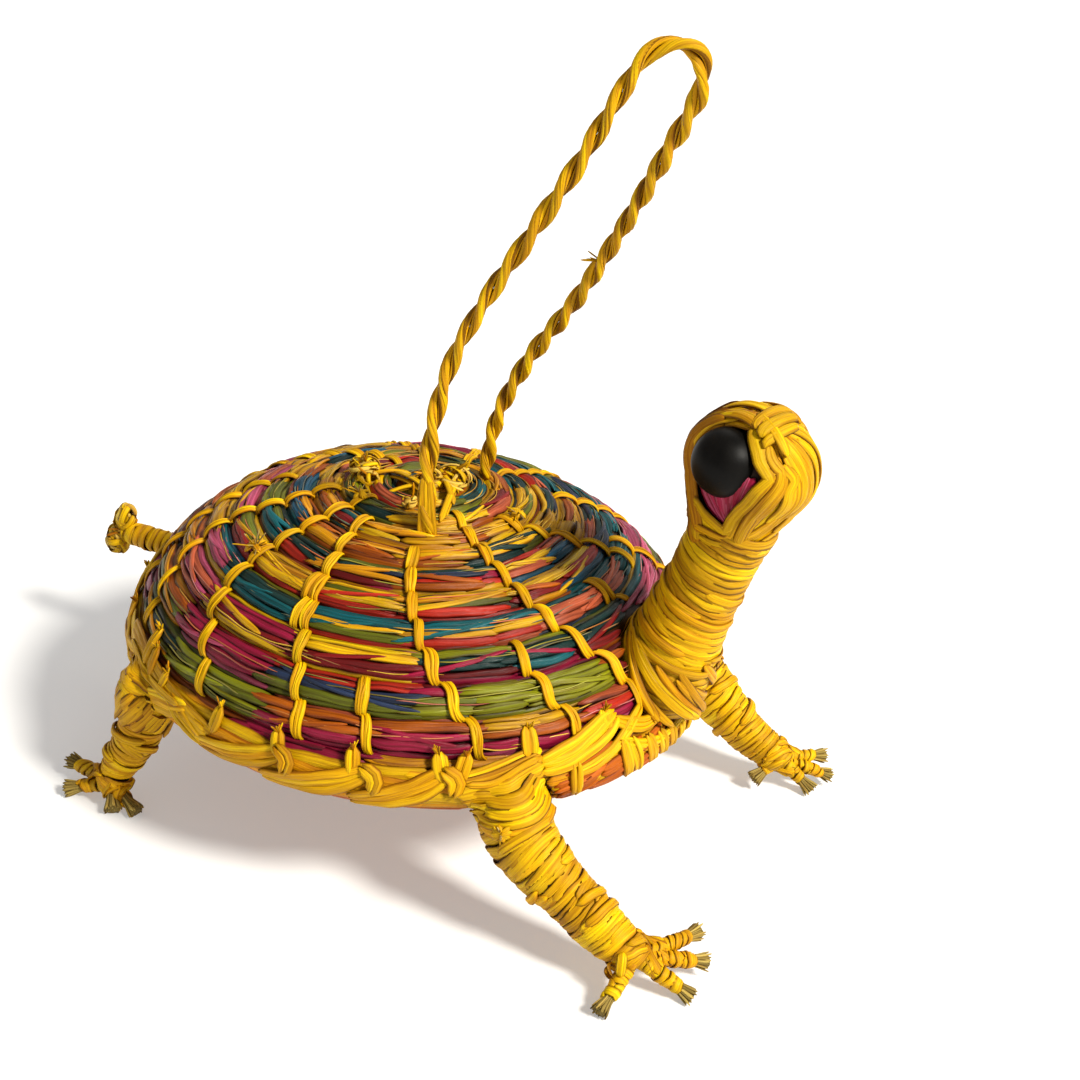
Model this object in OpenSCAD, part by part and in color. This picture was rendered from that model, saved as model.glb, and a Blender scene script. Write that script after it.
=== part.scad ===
// Coiled palm-fibre turtle ornament, an assembly of separate named pieces.
// Units are millimetres. +X runs from tail to head, +Y to the turtle's left, +Z up.
// The floor is z = 0 and the shell's axis is x = 0, y = 0.

/* [Shell] */
// Radius of the shell at its rim, outside the coils
shell_r = 60; // [50:0.5:70]
// Height of the rim above the floor
rim_z = 30; // [20:0.5:45]
// Height of the crown above the rim
dome_h = 38; // [25:0.5:50]
// Number of coil rounds from crown to rim
carapace_rounds = 12; // [12:1:12]
// Diameter of one coil of fibre strips
coil_d = 5.6; // [4:0.1:7]
// Number of rounds in the belly, the first one being the coil under the rim
plastron_rounds = 6; // [6:1:6]
// Width of one belly round
belly_w = 10.1; // [6:0.1:11]
// Thickness of one belly round
belly_t = 3.4; // [2:0.1:5]
// Height of the middle of the belly at its centre
belly_z = 24.3; // [18:0.1:28]
// Rise of the belly from its centre to its second round
belly_rise = 1.3; // [0:0.1:3]
// Distance of the belly's side coil from the shell's axis
side_coil_x = 54.8; // [53:0.1:56]
// Height of the belly's side coil
side_coil_z = 27.5; // [25:0.1:28]
// Thickness of the yellow strips bound round the rim
band_t = 0.8; // [0.4:0.1:1.5]

/* [Stitches] */
// Width of one stitch of yellow fibre
stitch_w = 2.8; // [1.5:0.1:4]
// Thickness of one stitch
stitch_t = 0.7; // [0.3:0.1:1.2]

/* [Neck and head] */
// Radius of the ball at the foot of the neck
neck_ball_r = 9.2; // [7:0.1:11]
// Distance of the neck's ball from the shell's axis
neck_x = 54.8; // [48:0.1:58]
// Height of the neck's ball
neck_z = 42; // [36:0.5:48]
// Forward lean of the neck, in degrees
neck_lean = 15.5; // [5:0.1:30]
// Length of the neck from its ball to its top, inside the head's hollow
neck_len = 41; // [32:0.5:50]
// Radius of the neck just under the head
neck_top_r = 7.3; // [5:0.1:9]
// Distance of the head's centre from the shell's axis
head_x = 66.5; // [60:0.5:75]
// Height of the head's centre
head_z = 90; // [80:0.5:100]
// Outer radius of the head
head_r = 12.7; // [10:0.1:15]
// Thickness of the yellow strips over the head
cover_t = 2.2; // [1:0.1:3]
// Radius of a seed eye
seed_r = 6.6; // [4:0.1:7]
// Distance of a seed's centre from the head's centre
seed_out = 8; // [6.5:0.1:9]
// Upward tilt of a seed, in degrees
seed_up = 20; // [0:1:45]
// Backward turn of a seed, in degrees
seed_back = 24; // [0:1:30]

/* [Legs] */
// Radius of a wrapped toe at its root
toe_r = 1.7; // [1.2:0.1:2.6]
// Radius of the fibres inside a toe
toe_core_r = 1; // [0.7:0.1:1.5]
// Radius of a toe's cut brush end
brush_r = 2; // [1.4:0.1:3]
// Length of a toe's cut brush end
brush_len = 3.4; // [2:0.1:5]

/* [Tail] */
// Radius of the ball at the tail's root
tail_ball_r = 3.6; // [2.5:0.1:5]
// Length of the wrapped tail from its ball
tail_len = 20.9; // [15:0.1:30]
// Radius of the wrapped tail at its end
tail_end_r = 2.4; // [1.5:0.1:3.5]

/* [Hanging loop] */
// Diameter of the twisted cord
cord_d = 3.5; // [2:0.1:5]

/* [Clearances] */
// Clearance round a ball in its pocket
joint_gap = 0.45; // [0.3:0.05:0.8]
// Gap between pieces of one body that lie side by side
lay_gap = 0.05; // [0.02:0.01:0.1]

/* [Hidden] */

YELLOW = [0.92, 0.74, 0.02];
GOLD = [0.80, 0.58, 0.02];
TEAL = [0.10, 0.42, 0.46];
OLIVE = [0.58, 0.62, 0.12];
RED = [0.80, 0.20, 0.14];
PINK = [0.72, 0.20, 0.36];
ORANGE = [0.82, 0.46, 0.06];
KHAKI = [0.60, 0.52, 0.24];
BLACK = [0.04, 0.04, 0.04];

// Colour of each carapace round, crown first
ROUND_COLOURS = [YELLOW, OLIVE, GOLD, ORANGE, OLIVE, RED, TEAL, GOLD, RED, TEAL, PINK, ORANGE];

// ---------- the dome: a quarter ellipse through the centres of the coils ----------
coil_r = coil_d / 2;
dome_a = shell_r - coil_r;
dome_b = dome_h - coil_r;
dome_steps = 90;

function dome_pt(q) = [dome_a * sin(q), rim_z + dome_b * cos(q)];
// Length along the dome from the crown to angle q, as a running sum
function run_sum(i, total) = i == 0 ? [[0, 0]] :
  let (before = run_sum(i - 1, total))
  concat(before, [[before[i - 1][0] + norm(dome_pt(i) - dome_pt(i - 1)), i]]);
dome_run = run_sum(dome_steps, dome_steps);
dome_len = dome_run[dome_steps][0];
// The crown's centre button takes the first stretch of the dome
button_r = 3;
pitch = (dome_len - button_r) / carapace_rounds;

// Angle of round k (1 at the crown), its centre, and the outward lean of the dome there
function round_q(k) = lookup(button_r + (k - 0.5) * pitch, dome_run);
function round_c(k) = dome_pt(round_q(k));
function lean_of(q) = atan2(dome_a * cos(q), dome_b * sin(q));

// ---------- joint centres and leg routes ----------
// A leg's route runs from its hip to its wrist; the two front legs were bent by hand, each its own way
FRONT_RIGHT_ROUTE = [
  [46, -40.4, 25.6], [48.6, -41.2, 22.4], [53, -41.4, 18.8],
  [58.7, -41.2, 15.1], [65.9, -41, 10.7], [71, -40.7, 8]
];
FRONT_RIGHT_R = [7.4, 7.1, 6.4, 5.6, 5, 4.2];
FRONT_LEFT_ROUTE = [
  [46, 40.4, 25.6], [49, 40.9, 22.2], [53, 41.1, 18.9],
  [57.5, 41.2, 15.4], [63.5, 41.5, 11], [69.3, 42, 8.3]
];
FRONT_LEFT_R = [7.4, 7, 6.4, 5.8, 4.7, 4.1];
REAR_RIGHT_ROUTE = [
  [-35.4, -49.2, 25.6], [-35.5, -49.4, 22], [-36, -49.9, 17.4],
  [-37.1, -50.6, 13], [-38.2, -51.2, 9.6], [-38.9, -51.8, 7]
];
REAR_R = [6.6, 6.1, 5.3, 4.6, 3.9, 3.4];
// Toe tips of each foot
FRONT_RIGHT_TIPS = [[81, -25.6, 6.5], [84.8, -29.2, 3.4], [85.9, -38.3, 1.2], [72.8, -52.6, 1.2]];
FRONT_LEFT_TIPS = [[80, 51.6, 6.3], [82.6, 50.3, 2.4], [80.6, 43.4, 1.2], [68.2, 36.8, 2.6]];
REAR_RIGHT_TIPS = [[-52.6, -50.1, 3.6], [-48.5, -56.2, 1.2], [-35.8, -56.4, 1.2], [-31.6, -53.8, 1.2]];

neck_at = [neck_x, 0, neck_z];
neck_dir = [sin(neck_lean), 0, cos(neck_lean)];
head_at = [head_x, 0, head_z];
tail_at = [-58.5, 0, 31];
tail_drop = 3;

// Route of the hanging loop, from its right root over the top to its left root
LOOP_ROUTE = [
  [9.5, -18.5, 65], [7.8, -17.5, 74], [7.2, -16.5, 86], [9.1, -15, 100],
  [14.4, -13.5, 113.5], [21.2, -12, 127], [28, -10.5, 141], [33.2, -9, 153.5],
  [36.6, -7.5, 160.8], [41, -5, 163.4], [44.6, -2.5, 161.2], [44.5, -1, 154.5],
  [39.4, 1.5, 143.6], [32, 5, 128.5], [22.4, 8.5, 110.3], [12.8, 10, 94.5], [7.5, 10, 81], [6, 10, 67]
];
loop_root_right = LOOP_ROUTE[0];
loop_root_left = LOOP_ROUTE[len(LOOP_ROUTE) - 1];

// ---------- small helpers ----------
function unit(v) = v / norm(v);
function mirrored(points) = [for (p = points) [p[0], -p[1], p[2]]];
// Catmull-Rom curve through a list of points, with n steps between neighbours
function curve_pt(a, b, c, d, t) =
  0.5 * (2 * b + (c - a) * t + (2 * a - 5 * b + 4 * c - d) * t * t + (3 * b - a - 3 * c + d) * t * t * t);
function curve(p, n) = let (last = len(p) - 1) concat(
  [for (i = [0 : last - 1]) for (j = [0 : n - 1])
    curve_pt(p[max(i - 1, 0)], p[i], p[i + 1], p[min(i + 2, last)], j / n)],
  [p[last]]);
function curve_r(r, n) = let (last = len(r) - 1) concat(
  [for (i = [0 : last - 1]) for (j = [0 : n - 1]) r[i] + (r[i + 1] - r[i]) * j / n],
  [r[last]]);
function tangent(p, i) = unit(p[min(i + 1, len(p) - 1)] - p[max(i - 1, 0)]);
// One ring of n points square to the route at point i; side is any direction well off the route
function ring_at(p, r, i, n, side) = let (
    t = tangent(p, i), a = unit(cross(t, side)), b = cross(a, t))
  [for (j = [0 : n - 1]) p[i] + r[i] * (cos(360 * j / n) * a + sin(360 * j / n) * b)];

// A solid rod along a route, with a radius at every point
module rod_along(p, r, n, side) {
  count = len(p);
  points = [for (i = [0 : count - 1]) each ring_at(p, r, i, n, side)];
  sides = [for (i = [0 : count - 2]) for (j = [0 : n - 1]) let (
      a = i * n + j, b = i * n + (j + 1) % n)
    each [[a, a + n, b], [b, a + n, b + n]]];
  first_cap = [[for (j = [0 : n - 1]) j]];
  last_cap = [[for (j = [n - 1 : -1 : 0]) (count - 1) * n + j]];
  polyhedron(points = points, faces = concat(sides, first_cap, last_cap), convexity = 6);
}

// Turns the z axis on to direction d and moves the origin to p
module aim(p, d) {
  translate(p)
    rotate([0, acos(d[2] / norm(d)), atan2(d[1], d[0])])
      children();
}

// ---------- pockets that the limbs' balls turn in ----------
module hip_pocket(route, r) {
  out = unit(route[1] - route[0]);
  translate(route[0]) sphere(r = r + joint_gap, $fn = 48);
  translate(route[0] + 4 * out) sphere(r = r + joint_gap + 1, $fn = 48);
}
module pockets() {
  hip_pocket(FRONT_RIGHT_ROUTE, FRONT_RIGHT_R[0]);
  hip_pocket(FRONT_LEFT_ROUTE, FRONT_LEFT_R[0]);
  hip_pocket(REAR_RIGHT_ROUTE, REAR_R[0]);
  hip_pocket(mirrored(REAR_RIGHT_ROUTE), REAR_R[0]);
  translate(neck_at) sphere(r = neck_ball_r + joint_gap, $fn = 48);
  translate(neck_at + 5 * neck_dir) sphere(r = neck_ball_r + joint_gap + 1.6, $fn = 48);
  translate(neck_at + 11 * neck_dir) sphere(r = neck_ball_r + joint_gap + 2, $fn = 48);
  translate(tail_at) sphere(r = tail_ball_r + joint_gap, $fn = 48);
  translate(tail_at - [3, 0, 0]) sphere(r = tail_ball_r + joint_gap + 0.8, $fn = 48);
}
module loop_dimples() {
  translate(loop_root_right) sphere(r = cord_d / 2 + 1.1, $fn = 32);
  translate(loop_root_left) sphere(r = cord_d / 2 + 1.1, $fn = 32);
}

// ---------- shell ----------
module coil_ring(k) {
  c = round_c(k);
  rotate_extrude($fn = 96) translate(c) circle(r = min(coil_r, pitch / 2 - lay_gap), $fn = 24);
}
module carapace_round(k) {
  color(ROUND_COLOURS[k - 1])
    if (k >= 7) {
      difference() {
        coil_ring(k);
        pockets();
      }
    } else if (k <= 5) {
      difference() {
        coil_ring(k);
        loop_dimples();
      }
    } else {
      coil_ring(k);
    }
}

// The first belly round is the coil under the rim; the others lie flat inside it
side_coil_w = 6.6;
side_coil_t = 4.8;
function belly_x(k) = side_coil_x - side_coil_w / 2 - lay_gap - (k - 1.5) * (belly_w + 2 * lay_gap);
function belly_c(k) = [belly_x(k), belly_z + belly_rise * pow(belly_x(k) / belly_x(2), 2)];
module bundle(w, t) {
  polygon([for (a = [15 : 30 : 345]) [w / 2 * cos(a) / cos(15), t / 2 * sin(a)]]);
}
module belly_ring(k) {
  if (k == 1) {
    rotate_extrude($fn = 96) translate([side_coil_x, side_coil_z]) bundle(side_coil_w, side_coil_t);
  } else {
    rotate_extrude($fn = 96) translate(belly_c(k)) bundle(belly_w, belly_t);
  }
}
module plastron_round(k) {
  color(k % 2 == 1 ? ORANGE : GOLD)
    if (k <= 2) {
      difference() {
        belly_ring(k);
        pockets();
      }
    } else {
      belly_ring(k);
    }
}

module rim_band() {
  inside = shell_r + 0.1;
  color(YELLOW)
    difference() {
      rotate_extrude($fn = 96)
        polygon([
          [inside, rim_z + 4.6], [inside + band_t, rim_z + 4.2],
          [inside + band_t + 0.2, rim_z + 0.6], [inside + band_t - 0.2, rim_z - 1.6],
          [inside + band_t - 1.2, rim_z - 2.7], [inside - 0.8, rim_z - 1.9],
          [inside + 0.1, rim_z + 0.2]
        ]);
      pockets();
    }
}

// Centre button of the coil with the cut ends of the strips lying round it
module crown_knot() {
  top = [0, 0, rim_z + dome_h - coil_r];
  color(YELLOW) {
    translate(top) sphere(r = 2.75, $fn = 32);
    for (i = [0 : 5])
      translate(top + [0, 0, 1.4]) rotate([0, 62, 60 * i + 20]) cylinder(r1 = 1.1, r2 = 0.7, h = 7, $fn = 12);
  }
}

// ---------- stitch rows ----------
// Each row: the round it starts on, then its angle round the shell at each round it crosses
STITCH_ROWS = [
  [3, [-116.5, -116, -116, -116, -116.5, -116, -113.5, -109, -104.5]],
  [4, [-98.5, -95, -93, -91.5, -89, -87, -85, -81.5]],
  [5, [-67.5, -65.5, -63.5, -60.5, -57, -52.5, -47]],
  [3, [-41.5, -38.5, -35, -32, -28.5, -24, -18, -12]],
  [3, [-14, -3, 7, 15, 21]],
  [7, [-5, 4]],
  [7, [27, 32.5, 34, 36, 38]],
  [8, [-38.5, -36.5, -31.5, -27]],
  [10, [-72, -68]],
  [4, [-141, -138, -141, -143.5, -141, -138, -135, -131]],
  [6, [-163, -160, -157, -154, -151, -148]],
  [3, [160, 164, 168, 171, 174, 177, 180, 183, 186]],
  [3, [128, 131, 134, 137, 140, 143, 146, 149, 152]],
  [3, [96, 99, 102, 105, 108, 111, 114, 117, 120]],
  [3, [66, 69, 72, 75, 78, 81, 84, 87, 90]],
  [5, [45, 48, 51, 54, 57, 60, 63]]
];
half_wrap = 66;
// A stitch over round k, in three straps that step from angle a0 to angle a1
module stitch(k, a0, a1) {
  c = round_c(k);
  lean = lean_of(round_q(k));
  inner = coil_r + lay_gap;
  outer = coil_r + stitch_t;
  wide = stitch_w / (c[0] + coil_r) * 180 / PI;
  third = 2 * half_wrap / 3;
  for (j = [0 : 2]) {
    // The straps run from the crown side of the coil to the rim side
    from = lean + half_wrap - j * third;
    rotate([0, 0, a0 + (a1 - a0) * (j + 0.5) / 3 - wide / 2])
      rotate_extrude(angle = wide, $fn = 96)
        translate(c)
          polygon(concat(
            [for (i = [0 : 3]) let (a = from - third * i / 3) outer * [cos(a), sin(a)]],
            [for (i = [3 : -1 : 0]) let (a = from - third * i / 3) inner * [cos(a), sin(a)]]));
  }
}
module stitch_row(i) {
  first = STITCH_ROWS[i - 1][0];
  angles = STITCH_ROWS[i - 1][1];
  last = len(angles) - 1;
  color(YELLOW)
    difference() {
      union() {
        for (j = [0 : last])
          stitch(first + j,
            (angles[max(j - 1, 0)] + angles[j]) / 2,
            (angles[j] + angles[min(j + 1, last)]) / 2);
      }
      pockets();
      loop_dimples();
    }
}

// ---------- neck and head ----------
module neck_wrap() {
  low = neck_ball_r;
  top = neck_len;
  turns = 12;
  step = (top - 6) / turns;
  color(YELLOW)
    difference() {
      aim(neck_at, neck_dir)
        rotate_extrude($fn = 40)
          polygon(concat(
            [[0, -low]],
            [for (a = [-75 : 15 : 30]) [low * cos(a), low * sin(a)]],
            [for (i = [0 : turns - 1]) let (
                z = 6 + (i + 0.5) * step, f = i / (turns - 1),
                r = low - 0.4 + (neck_top_r - low + 0.4) * sin(90 * min(1, f * 1.25)))
              each [[r, z - step * 0.3], [r, z + step * 0.3], [r - 0.35, z + step * 0.5]]],
            [[0, top]]));
      translate(head_at) sphere(r = head_r + lay_gap, $fn = 64);
    }
}

// Direction in which a seed looks; side is -1 on the turtle's right, 1 on its left
function seed_dir(side) = [-sin(seed_back) * cos(seed_up), side * cos(seed_back) * cos(seed_up), sin(seed_up)];
module seed(side, grow) {
  translate(head_at + seed_out * seed_dir(side)) sphere(r = seed_r + grow, $fn = 48);
}
module head_core() {
  color(PINK)
    difference() {
      translate(head_at) sphere(r = head_r - cover_t - lay_gap, $fn = 48);
      seed(-1, lay_gap);
      seed(1, lay_gap);
    }
}
// Drop-shaped opening over a seed, with its point towards the neck
module eye_opening(side) {
  d = seed_dir(side);
  aim(head_at, d)
    linear_extrude(height = head_r + 6)
      union() {
        circle(r = seed_r + 0.35, $fn = 40);
        polygon([[2.6, -6.3], [12.8, 0], [2.6, 6.3]]);
      }
}
module head_cover() {
  color(YELLOW)
    difference() {
      translate(head_at) sphere(r = head_r, $fn = 64);
      translate(head_at) sphere(r = head_r - cover_t, $fn = 48);
      eye_opening(-1);
      eye_opening(1);
    }
}
module eye_right() { color(BLACK) seed(-1, 0); }
module eye_left() { color(BLACK) seed(1, 0); }

// ---------- legs ----------
// Wrapped leg: the ball at the hip, then ridged turns down to the wrist
module leg_wrap(route, radii, side) {
  out = unit(route[1] - route[0]);
  r0 = radii[0];
  ball_q = [-70, -50, -30, -12];
  ball = [for (q = ball_q) route[0] + r0 * sin(q) * out];
  ball_r = [for (q = ball_q) r0 * cos(q)];
  steps = 6;
  path = curve(route, steps);
  rad = curve_r(radii, steps);
  ridged = [for (i = [0 : len(rad) - 1]) rad[i] - (i % 2 == 1 ? 0.3 : 0)];
  color(YELLOW) rod_along(concat(ball, path), concat(ball_r, ridged), 14, side);
}

palm_len = 4;
toe_sides = 10;
function palm_end(route) = let (n = len(route) - 1)
  route[n] + (palm_len + lay_gap) * unit(route[n] - route[n - 1]);

// Short stub in the palm where the four toe fibres meet
module hub(at, d, grow) {
  aim(at - 1.2 * d, d) cylinder(r = toe_core_r + 0.5 + grow, h = 2.4 + grow, $fn = toe_sides);
}
// Fibre of one toe: a rod from the palm that opens into a cut brush at the tip
module toe_fibre(from, tip) {
  d = tip - from;
  reach = norm(d);
  aim(from, d) {
    cylinder(r = toe_core_r, h = reach - brush_len + 0.2, $fn = toe_sides);
    translate([0, 0, reach - brush_len])
      cylinder(r1 = toe_core_r + 0.15, r2 = brush_r, h = brush_len, $fn = toe_sides);
  }
}
module toe_fibres(route, tips) {
  from = palm_end(route) - 1.2 * unit(palm_end(route) - route[len(route) - 1]);
  color(KHAKI)
    difference() {
      union() {
        hub(from, unit(palm_end(route) - route[len(route) - 1]), 0);
        for (tip = tips) toe_fibre(from, tip);
      }
      translate([route[0][0] - 20, route[0][1] - 40, -10]) cube([80, 80, 10]);
    }
}
module toe_wraps(route, radii, tips) {
  n = len(route) - 1;
  d = unit(route[n] - route[n - 1]);
  from = palm_end(route) - 1.2 * d;
  color(YELLOW)
    difference() {
      union() {
        aim(route[n] + lay_gap * d, d) cylinder(r1 = radii[n], r2 = radii[n] * 0.75, h = palm_len, $fn = 12);
        for (tip = tips)
          aim(from, tip - from)
            cylinder(r1 = toe_r, r2 = toe_r - 0.25, h = norm(tip - from) - brush_len - lay_gap, $fn = toe_sides);
      }
      hub(from, d, lay_gap);
      for (tip = tips)
        aim(from, tip - from) {
          cylinder(r = toe_core_r + lay_gap, h = 40, $fn = toe_sides);
          translate([0, 0, norm(tip - from) - brush_len - lay_gap])
            cylinder(r1 = toe_core_r + 0.2, r2 = brush_r + 0.1, h = brush_len + 0.2, $fn = toe_sides);
        }
    }
}

FRONT_SIDE = [0, 0, 1];
REAR_SIDE = [1, 0, 0];
module leg_wrap_front_right() { leg_wrap(FRONT_RIGHT_ROUTE, FRONT_RIGHT_R, FRONT_SIDE); }
module toe_wraps_front_right() { toe_wraps(FRONT_RIGHT_ROUTE, FRONT_RIGHT_R, FRONT_RIGHT_TIPS); }
module toe_fibres_front_right() { toe_fibres(FRONT_RIGHT_ROUTE, FRONT_RIGHT_TIPS); }
module leg_wrap_front_left() { leg_wrap(FRONT_LEFT_ROUTE, FRONT_LEFT_R, FRONT_SIDE); }
module toe_wraps_front_left() { toe_wraps(FRONT_LEFT_ROUTE, FRONT_LEFT_R, FRONT_LEFT_TIPS); }
module toe_fibres_front_left() { toe_fibres(FRONT_LEFT_ROUTE, FRONT_LEFT_TIPS); }
module leg_wrap_rear_right() { leg_wrap(REAR_RIGHT_ROUTE, REAR_R, REAR_SIDE); }
module toe_wraps_rear_right() { toe_wraps(REAR_RIGHT_ROUTE, REAR_R, REAR_RIGHT_TIPS); }
module toe_fibres_rear_right() { toe_fibres(REAR_RIGHT_ROUTE, REAR_RIGHT_TIPS); }
module leg_wrap_rear_left() { leg_wrap(mirrored(REAR_RIGHT_ROUTE), REAR_R, REAR_SIDE); }
module toe_wraps_rear_left() { toe_wraps(mirrored(REAR_RIGHT_ROUTE), REAR_R, mirrored(REAR_RIGHT_TIPS)); }
module toe_fibres_rear_left() { toe_fibres(mirrored(REAR_RIGHT_ROUTE), mirrored(REAR_RIGHT_TIPS)); }

// ---------- tail ----------
tail_dir = [-cos(tail_drop), 0, -sin(tail_drop)];
module tail_wrap() {
  low = tail_ball_r;
  turns = 8;
  step = (tail_len - 3) / turns;
  color(YELLOW)
    aim(tail_at, tail_dir)
      rotate_extrude($fn = 28)
        polygon(concat(
          [[0, -low]],
          [for (a = [-70 : 20 : 50]) [low * cos(a), low * sin(a)]],
          [for (i = [0 : turns - 1]) let (
              z = 3 + (i + 0.5) * step,
              r = 2.9 + (tail_end_r - 2.9) * i / (turns - 1))
            each [[r, z - step * 0.3], [r, z + step * 0.3], [r - 0.25, z + step * 0.5]]],
          [[0, tail_len]]));
}
module tail_tuft() {
  root = tail_at + (tail_len + lay_gap) * tail_dir;
  color(YELLOW) {
    aim(root, tail_dir) cylinder(r1 = 1.7, r2 = 2.2, h = 3, $fn = 20);
    aim(root + 2 * tail_dir, [-0.62, 0, 0.9]) cylinder(r1 = 1.5, r2 = 3.1, h = 5.4, $fn = 20);
    aim(root + 2 * tail_dir, [-0.72, 0, -0.8]) cylinder(r1 = 1.5, r2 = 3, h = 5.4, $fn = 20);
  }
}

// ---------- hanging loop ----------
module hanging_loop() {
  path = curve(LOOP_ROUTE, 3);
  rad = [for (p = path) cord_d / 2];
  color(YELLOW) rod_along(path, rad, 8, [0, 1, 0]);
}

carapace_round(1);  // carapace_round_01
carapace_round(2);  // carapace_round_02
carapace_round(3);  // carapace_round_03
carapace_round(4);  // carapace_round_04
carapace_round(5);  // carapace_round_05
carapace_round(6);  // carapace_round_06
carapace_round(7);  // carapace_round_07
carapace_round(8);  // carapace_round_08
carapace_round(9);  // carapace_round_09
carapace_round(10);  // carapace_round_10
carapace_round(11);  // carapace_round_11
carapace_round(12);  // carapace_round_12
plastron_round(1);  // plastron_round_01
plastron_round(2);  // plastron_round_02
plastron_round(3);  // plastron_round_03
plastron_round(4);  // plastron_round_04
plastron_round(5);  // plastron_round_05
plastron_round(6);  // plastron_round_06
rim_band();
crown_knot();
stitch_row(1);  // stitch_row_01
stitch_row(2);  // stitch_row_02
stitch_row(3);  // stitch_row_03
stitch_row(4);  // stitch_row_04
stitch_row(5);  // stitch_row_05
stitch_row(6);  // stitch_row_06
stitch_row(7);  // stitch_row_07
stitch_row(8);  // stitch_row_08
stitch_row(9);  // stitch_row_09
stitch_row(10);  // stitch_row_10
stitch_row(11);  // stitch_row_11
stitch_row(12);  // stitch_row_12
stitch_row(13);  // stitch_row_13
stitch_row(14);  // stitch_row_14
stitch_row(15);  // stitch_row_15
stitch_row(16);  // stitch_row_16
neck_wrap();
head_core();
head_cover();
eye_right();
eye_left();
leg_wrap_front_right();
toe_wraps_front_right();
toe_fibres_front_right();
leg_wrap_front_left();
toe_wraps_front_left();
toe_fibres_front_left();
leg_wrap_rear_right();
toe_wraps_rear_right();
toe_fibres_rear_right();
leg_wrap_rear_left();
toe_wraps_rear_left();
toe_fibres_rear_left();
tail_wrap();
tail_tuft();
hanging_loop();
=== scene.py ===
"""A coiled palm-fibre turtle: every strip, stitch, wrap and frayed end is its own ribbon of mesh.

Lengths are in millimetres until mesh_object() turns them into metres. +X is the head, +Y the
turtle's left, and z = 0 the floor. Angles round the shell are in degrees from +X.
"""
import math
import zlib

import bpy
import numpy as np
from mathutils import Matrix, Vector


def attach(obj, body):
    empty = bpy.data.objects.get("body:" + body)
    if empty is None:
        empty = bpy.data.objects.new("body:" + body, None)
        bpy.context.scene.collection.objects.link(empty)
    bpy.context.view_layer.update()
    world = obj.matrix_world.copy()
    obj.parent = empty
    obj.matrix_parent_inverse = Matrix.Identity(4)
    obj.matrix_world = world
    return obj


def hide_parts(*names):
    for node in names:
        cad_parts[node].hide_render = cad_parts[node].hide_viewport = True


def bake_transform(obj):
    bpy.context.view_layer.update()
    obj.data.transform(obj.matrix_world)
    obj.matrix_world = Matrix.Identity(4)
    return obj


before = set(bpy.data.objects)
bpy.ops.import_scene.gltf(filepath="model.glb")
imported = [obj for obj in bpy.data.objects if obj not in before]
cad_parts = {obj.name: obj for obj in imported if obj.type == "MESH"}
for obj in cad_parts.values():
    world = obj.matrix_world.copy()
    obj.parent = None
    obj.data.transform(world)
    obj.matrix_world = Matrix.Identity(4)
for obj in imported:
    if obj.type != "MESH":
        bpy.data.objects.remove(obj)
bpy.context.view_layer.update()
MM = 0.001

# ---------- camera ----------
CAMERA_AZIMUTH, CAMERA_ELEVATION, CAMERA_ROLL = (math.radians(a) for a in (24.49, 25.0, 7.56))
CAMERA_TARGET = Vector((25.19, 0, 62.0)) * MM
CAMERA_DISTANCE = 340.6 * MM


def make_camera():
    back = Vector((
        math.sin(CAMERA_AZIMUTH) * math.cos(CAMERA_ELEVATION),
        -math.cos(CAMERA_AZIMUTH) * math.cos(CAMERA_ELEVATION),
        math.sin(CAMERA_ELEVATION)))
    right = (-back).cross(Vector((0, 0, 1))).normalized()
    up = right.cross(-back)
    cam_x = math.cos(CAMERA_ROLL) * right + math.sin(CAMERA_ROLL) * up
    cam_y = -math.sin(CAMERA_ROLL) * right + math.cos(CAMERA_ROLL) * up
    data = bpy.data.cameras.new("camera")
    data.sensor_width, data.lens = 36, 56.18
    data.clip_start, data.clip_end = 0.01, 10
    camera = bpy.data.objects.new("camera", data)
    matrix = Matrix((cam_x, cam_y, back)).transposed().to_4x4()
    matrix.translation = CAMERA_TARGET + back * CAMERA_DISTANCE
    camera.matrix_world = matrix
    bpy.context.scene.collection.objects.link(camera)
    bpy.context.scene.camera = camera


make_camera()


# ---------- small vector helpers ----------
def unit(v):
    v = np.asarray(v, float)
    return v / np.maximum(np.linalg.norm(v, axis=-1, keepdims=True), 1e-9)


def lerp_rows(x, xs, rows):
    """Interpolates each column of rows at x."""
    rows = np.asarray(rows, float)
    return np.stack([np.interp(x, xs, rows[:, i]) for i in range(rows.shape[1])], axis=-1)


def run_length(path):
    return np.concatenate([[0], np.cumsum(np.linalg.norm(np.diff(path, axis=0), axis=1))])


def catmull_rom(points, steps):
    p = np.asarray(points, float)
    last = len(p) - 1
    out = []
    for i in range(last):
        a, b, c, d = p[max(i - 1, 0)], p[i], p[i + 1], p[min(i + 2, last)]
        for j in range(steps):
            t = j / steps
            out.append(0.5 * (2 * b + (c - a) * t + (2 * a - 5 * b + 4 * c - d) * t ** 2
                              + (3 * b - a - 3 * c + d) * t ** 3))
    out.append(p[last])
    return np.array(out)


def even(path, step):
    """The same route with its points `step` apart."""
    s = run_length(path)
    count = max(int(s[-1] / step) + 1, 4)
    return lerp_rows(np.linspace(0, s[-1], count), s, path)


def wobble(rng, s, span, size):
    """Smooth random wander along s, with waves about `span` long."""
    total = np.zeros_like(s, dtype=float)
    for share in (1.0, 0.53, 0.31):
        total += share * np.sin(2 * math.pi * s / (span * share * rng.uniform(0.8, 1.2)) + rng.uniform(0, 6.3))
    return size * total / 1.5


def runs(mask, least=4):
    """(start, end) of each stretch of True that is at least `least` long."""
    padded = np.concatenate([[False], mask, [False]]).astype(int)
    change = np.flatnonzero(np.diff(padded))
    return [(a, b) for a, b in zip(change[::2], change[1::2]) if b - a >= least]


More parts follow.
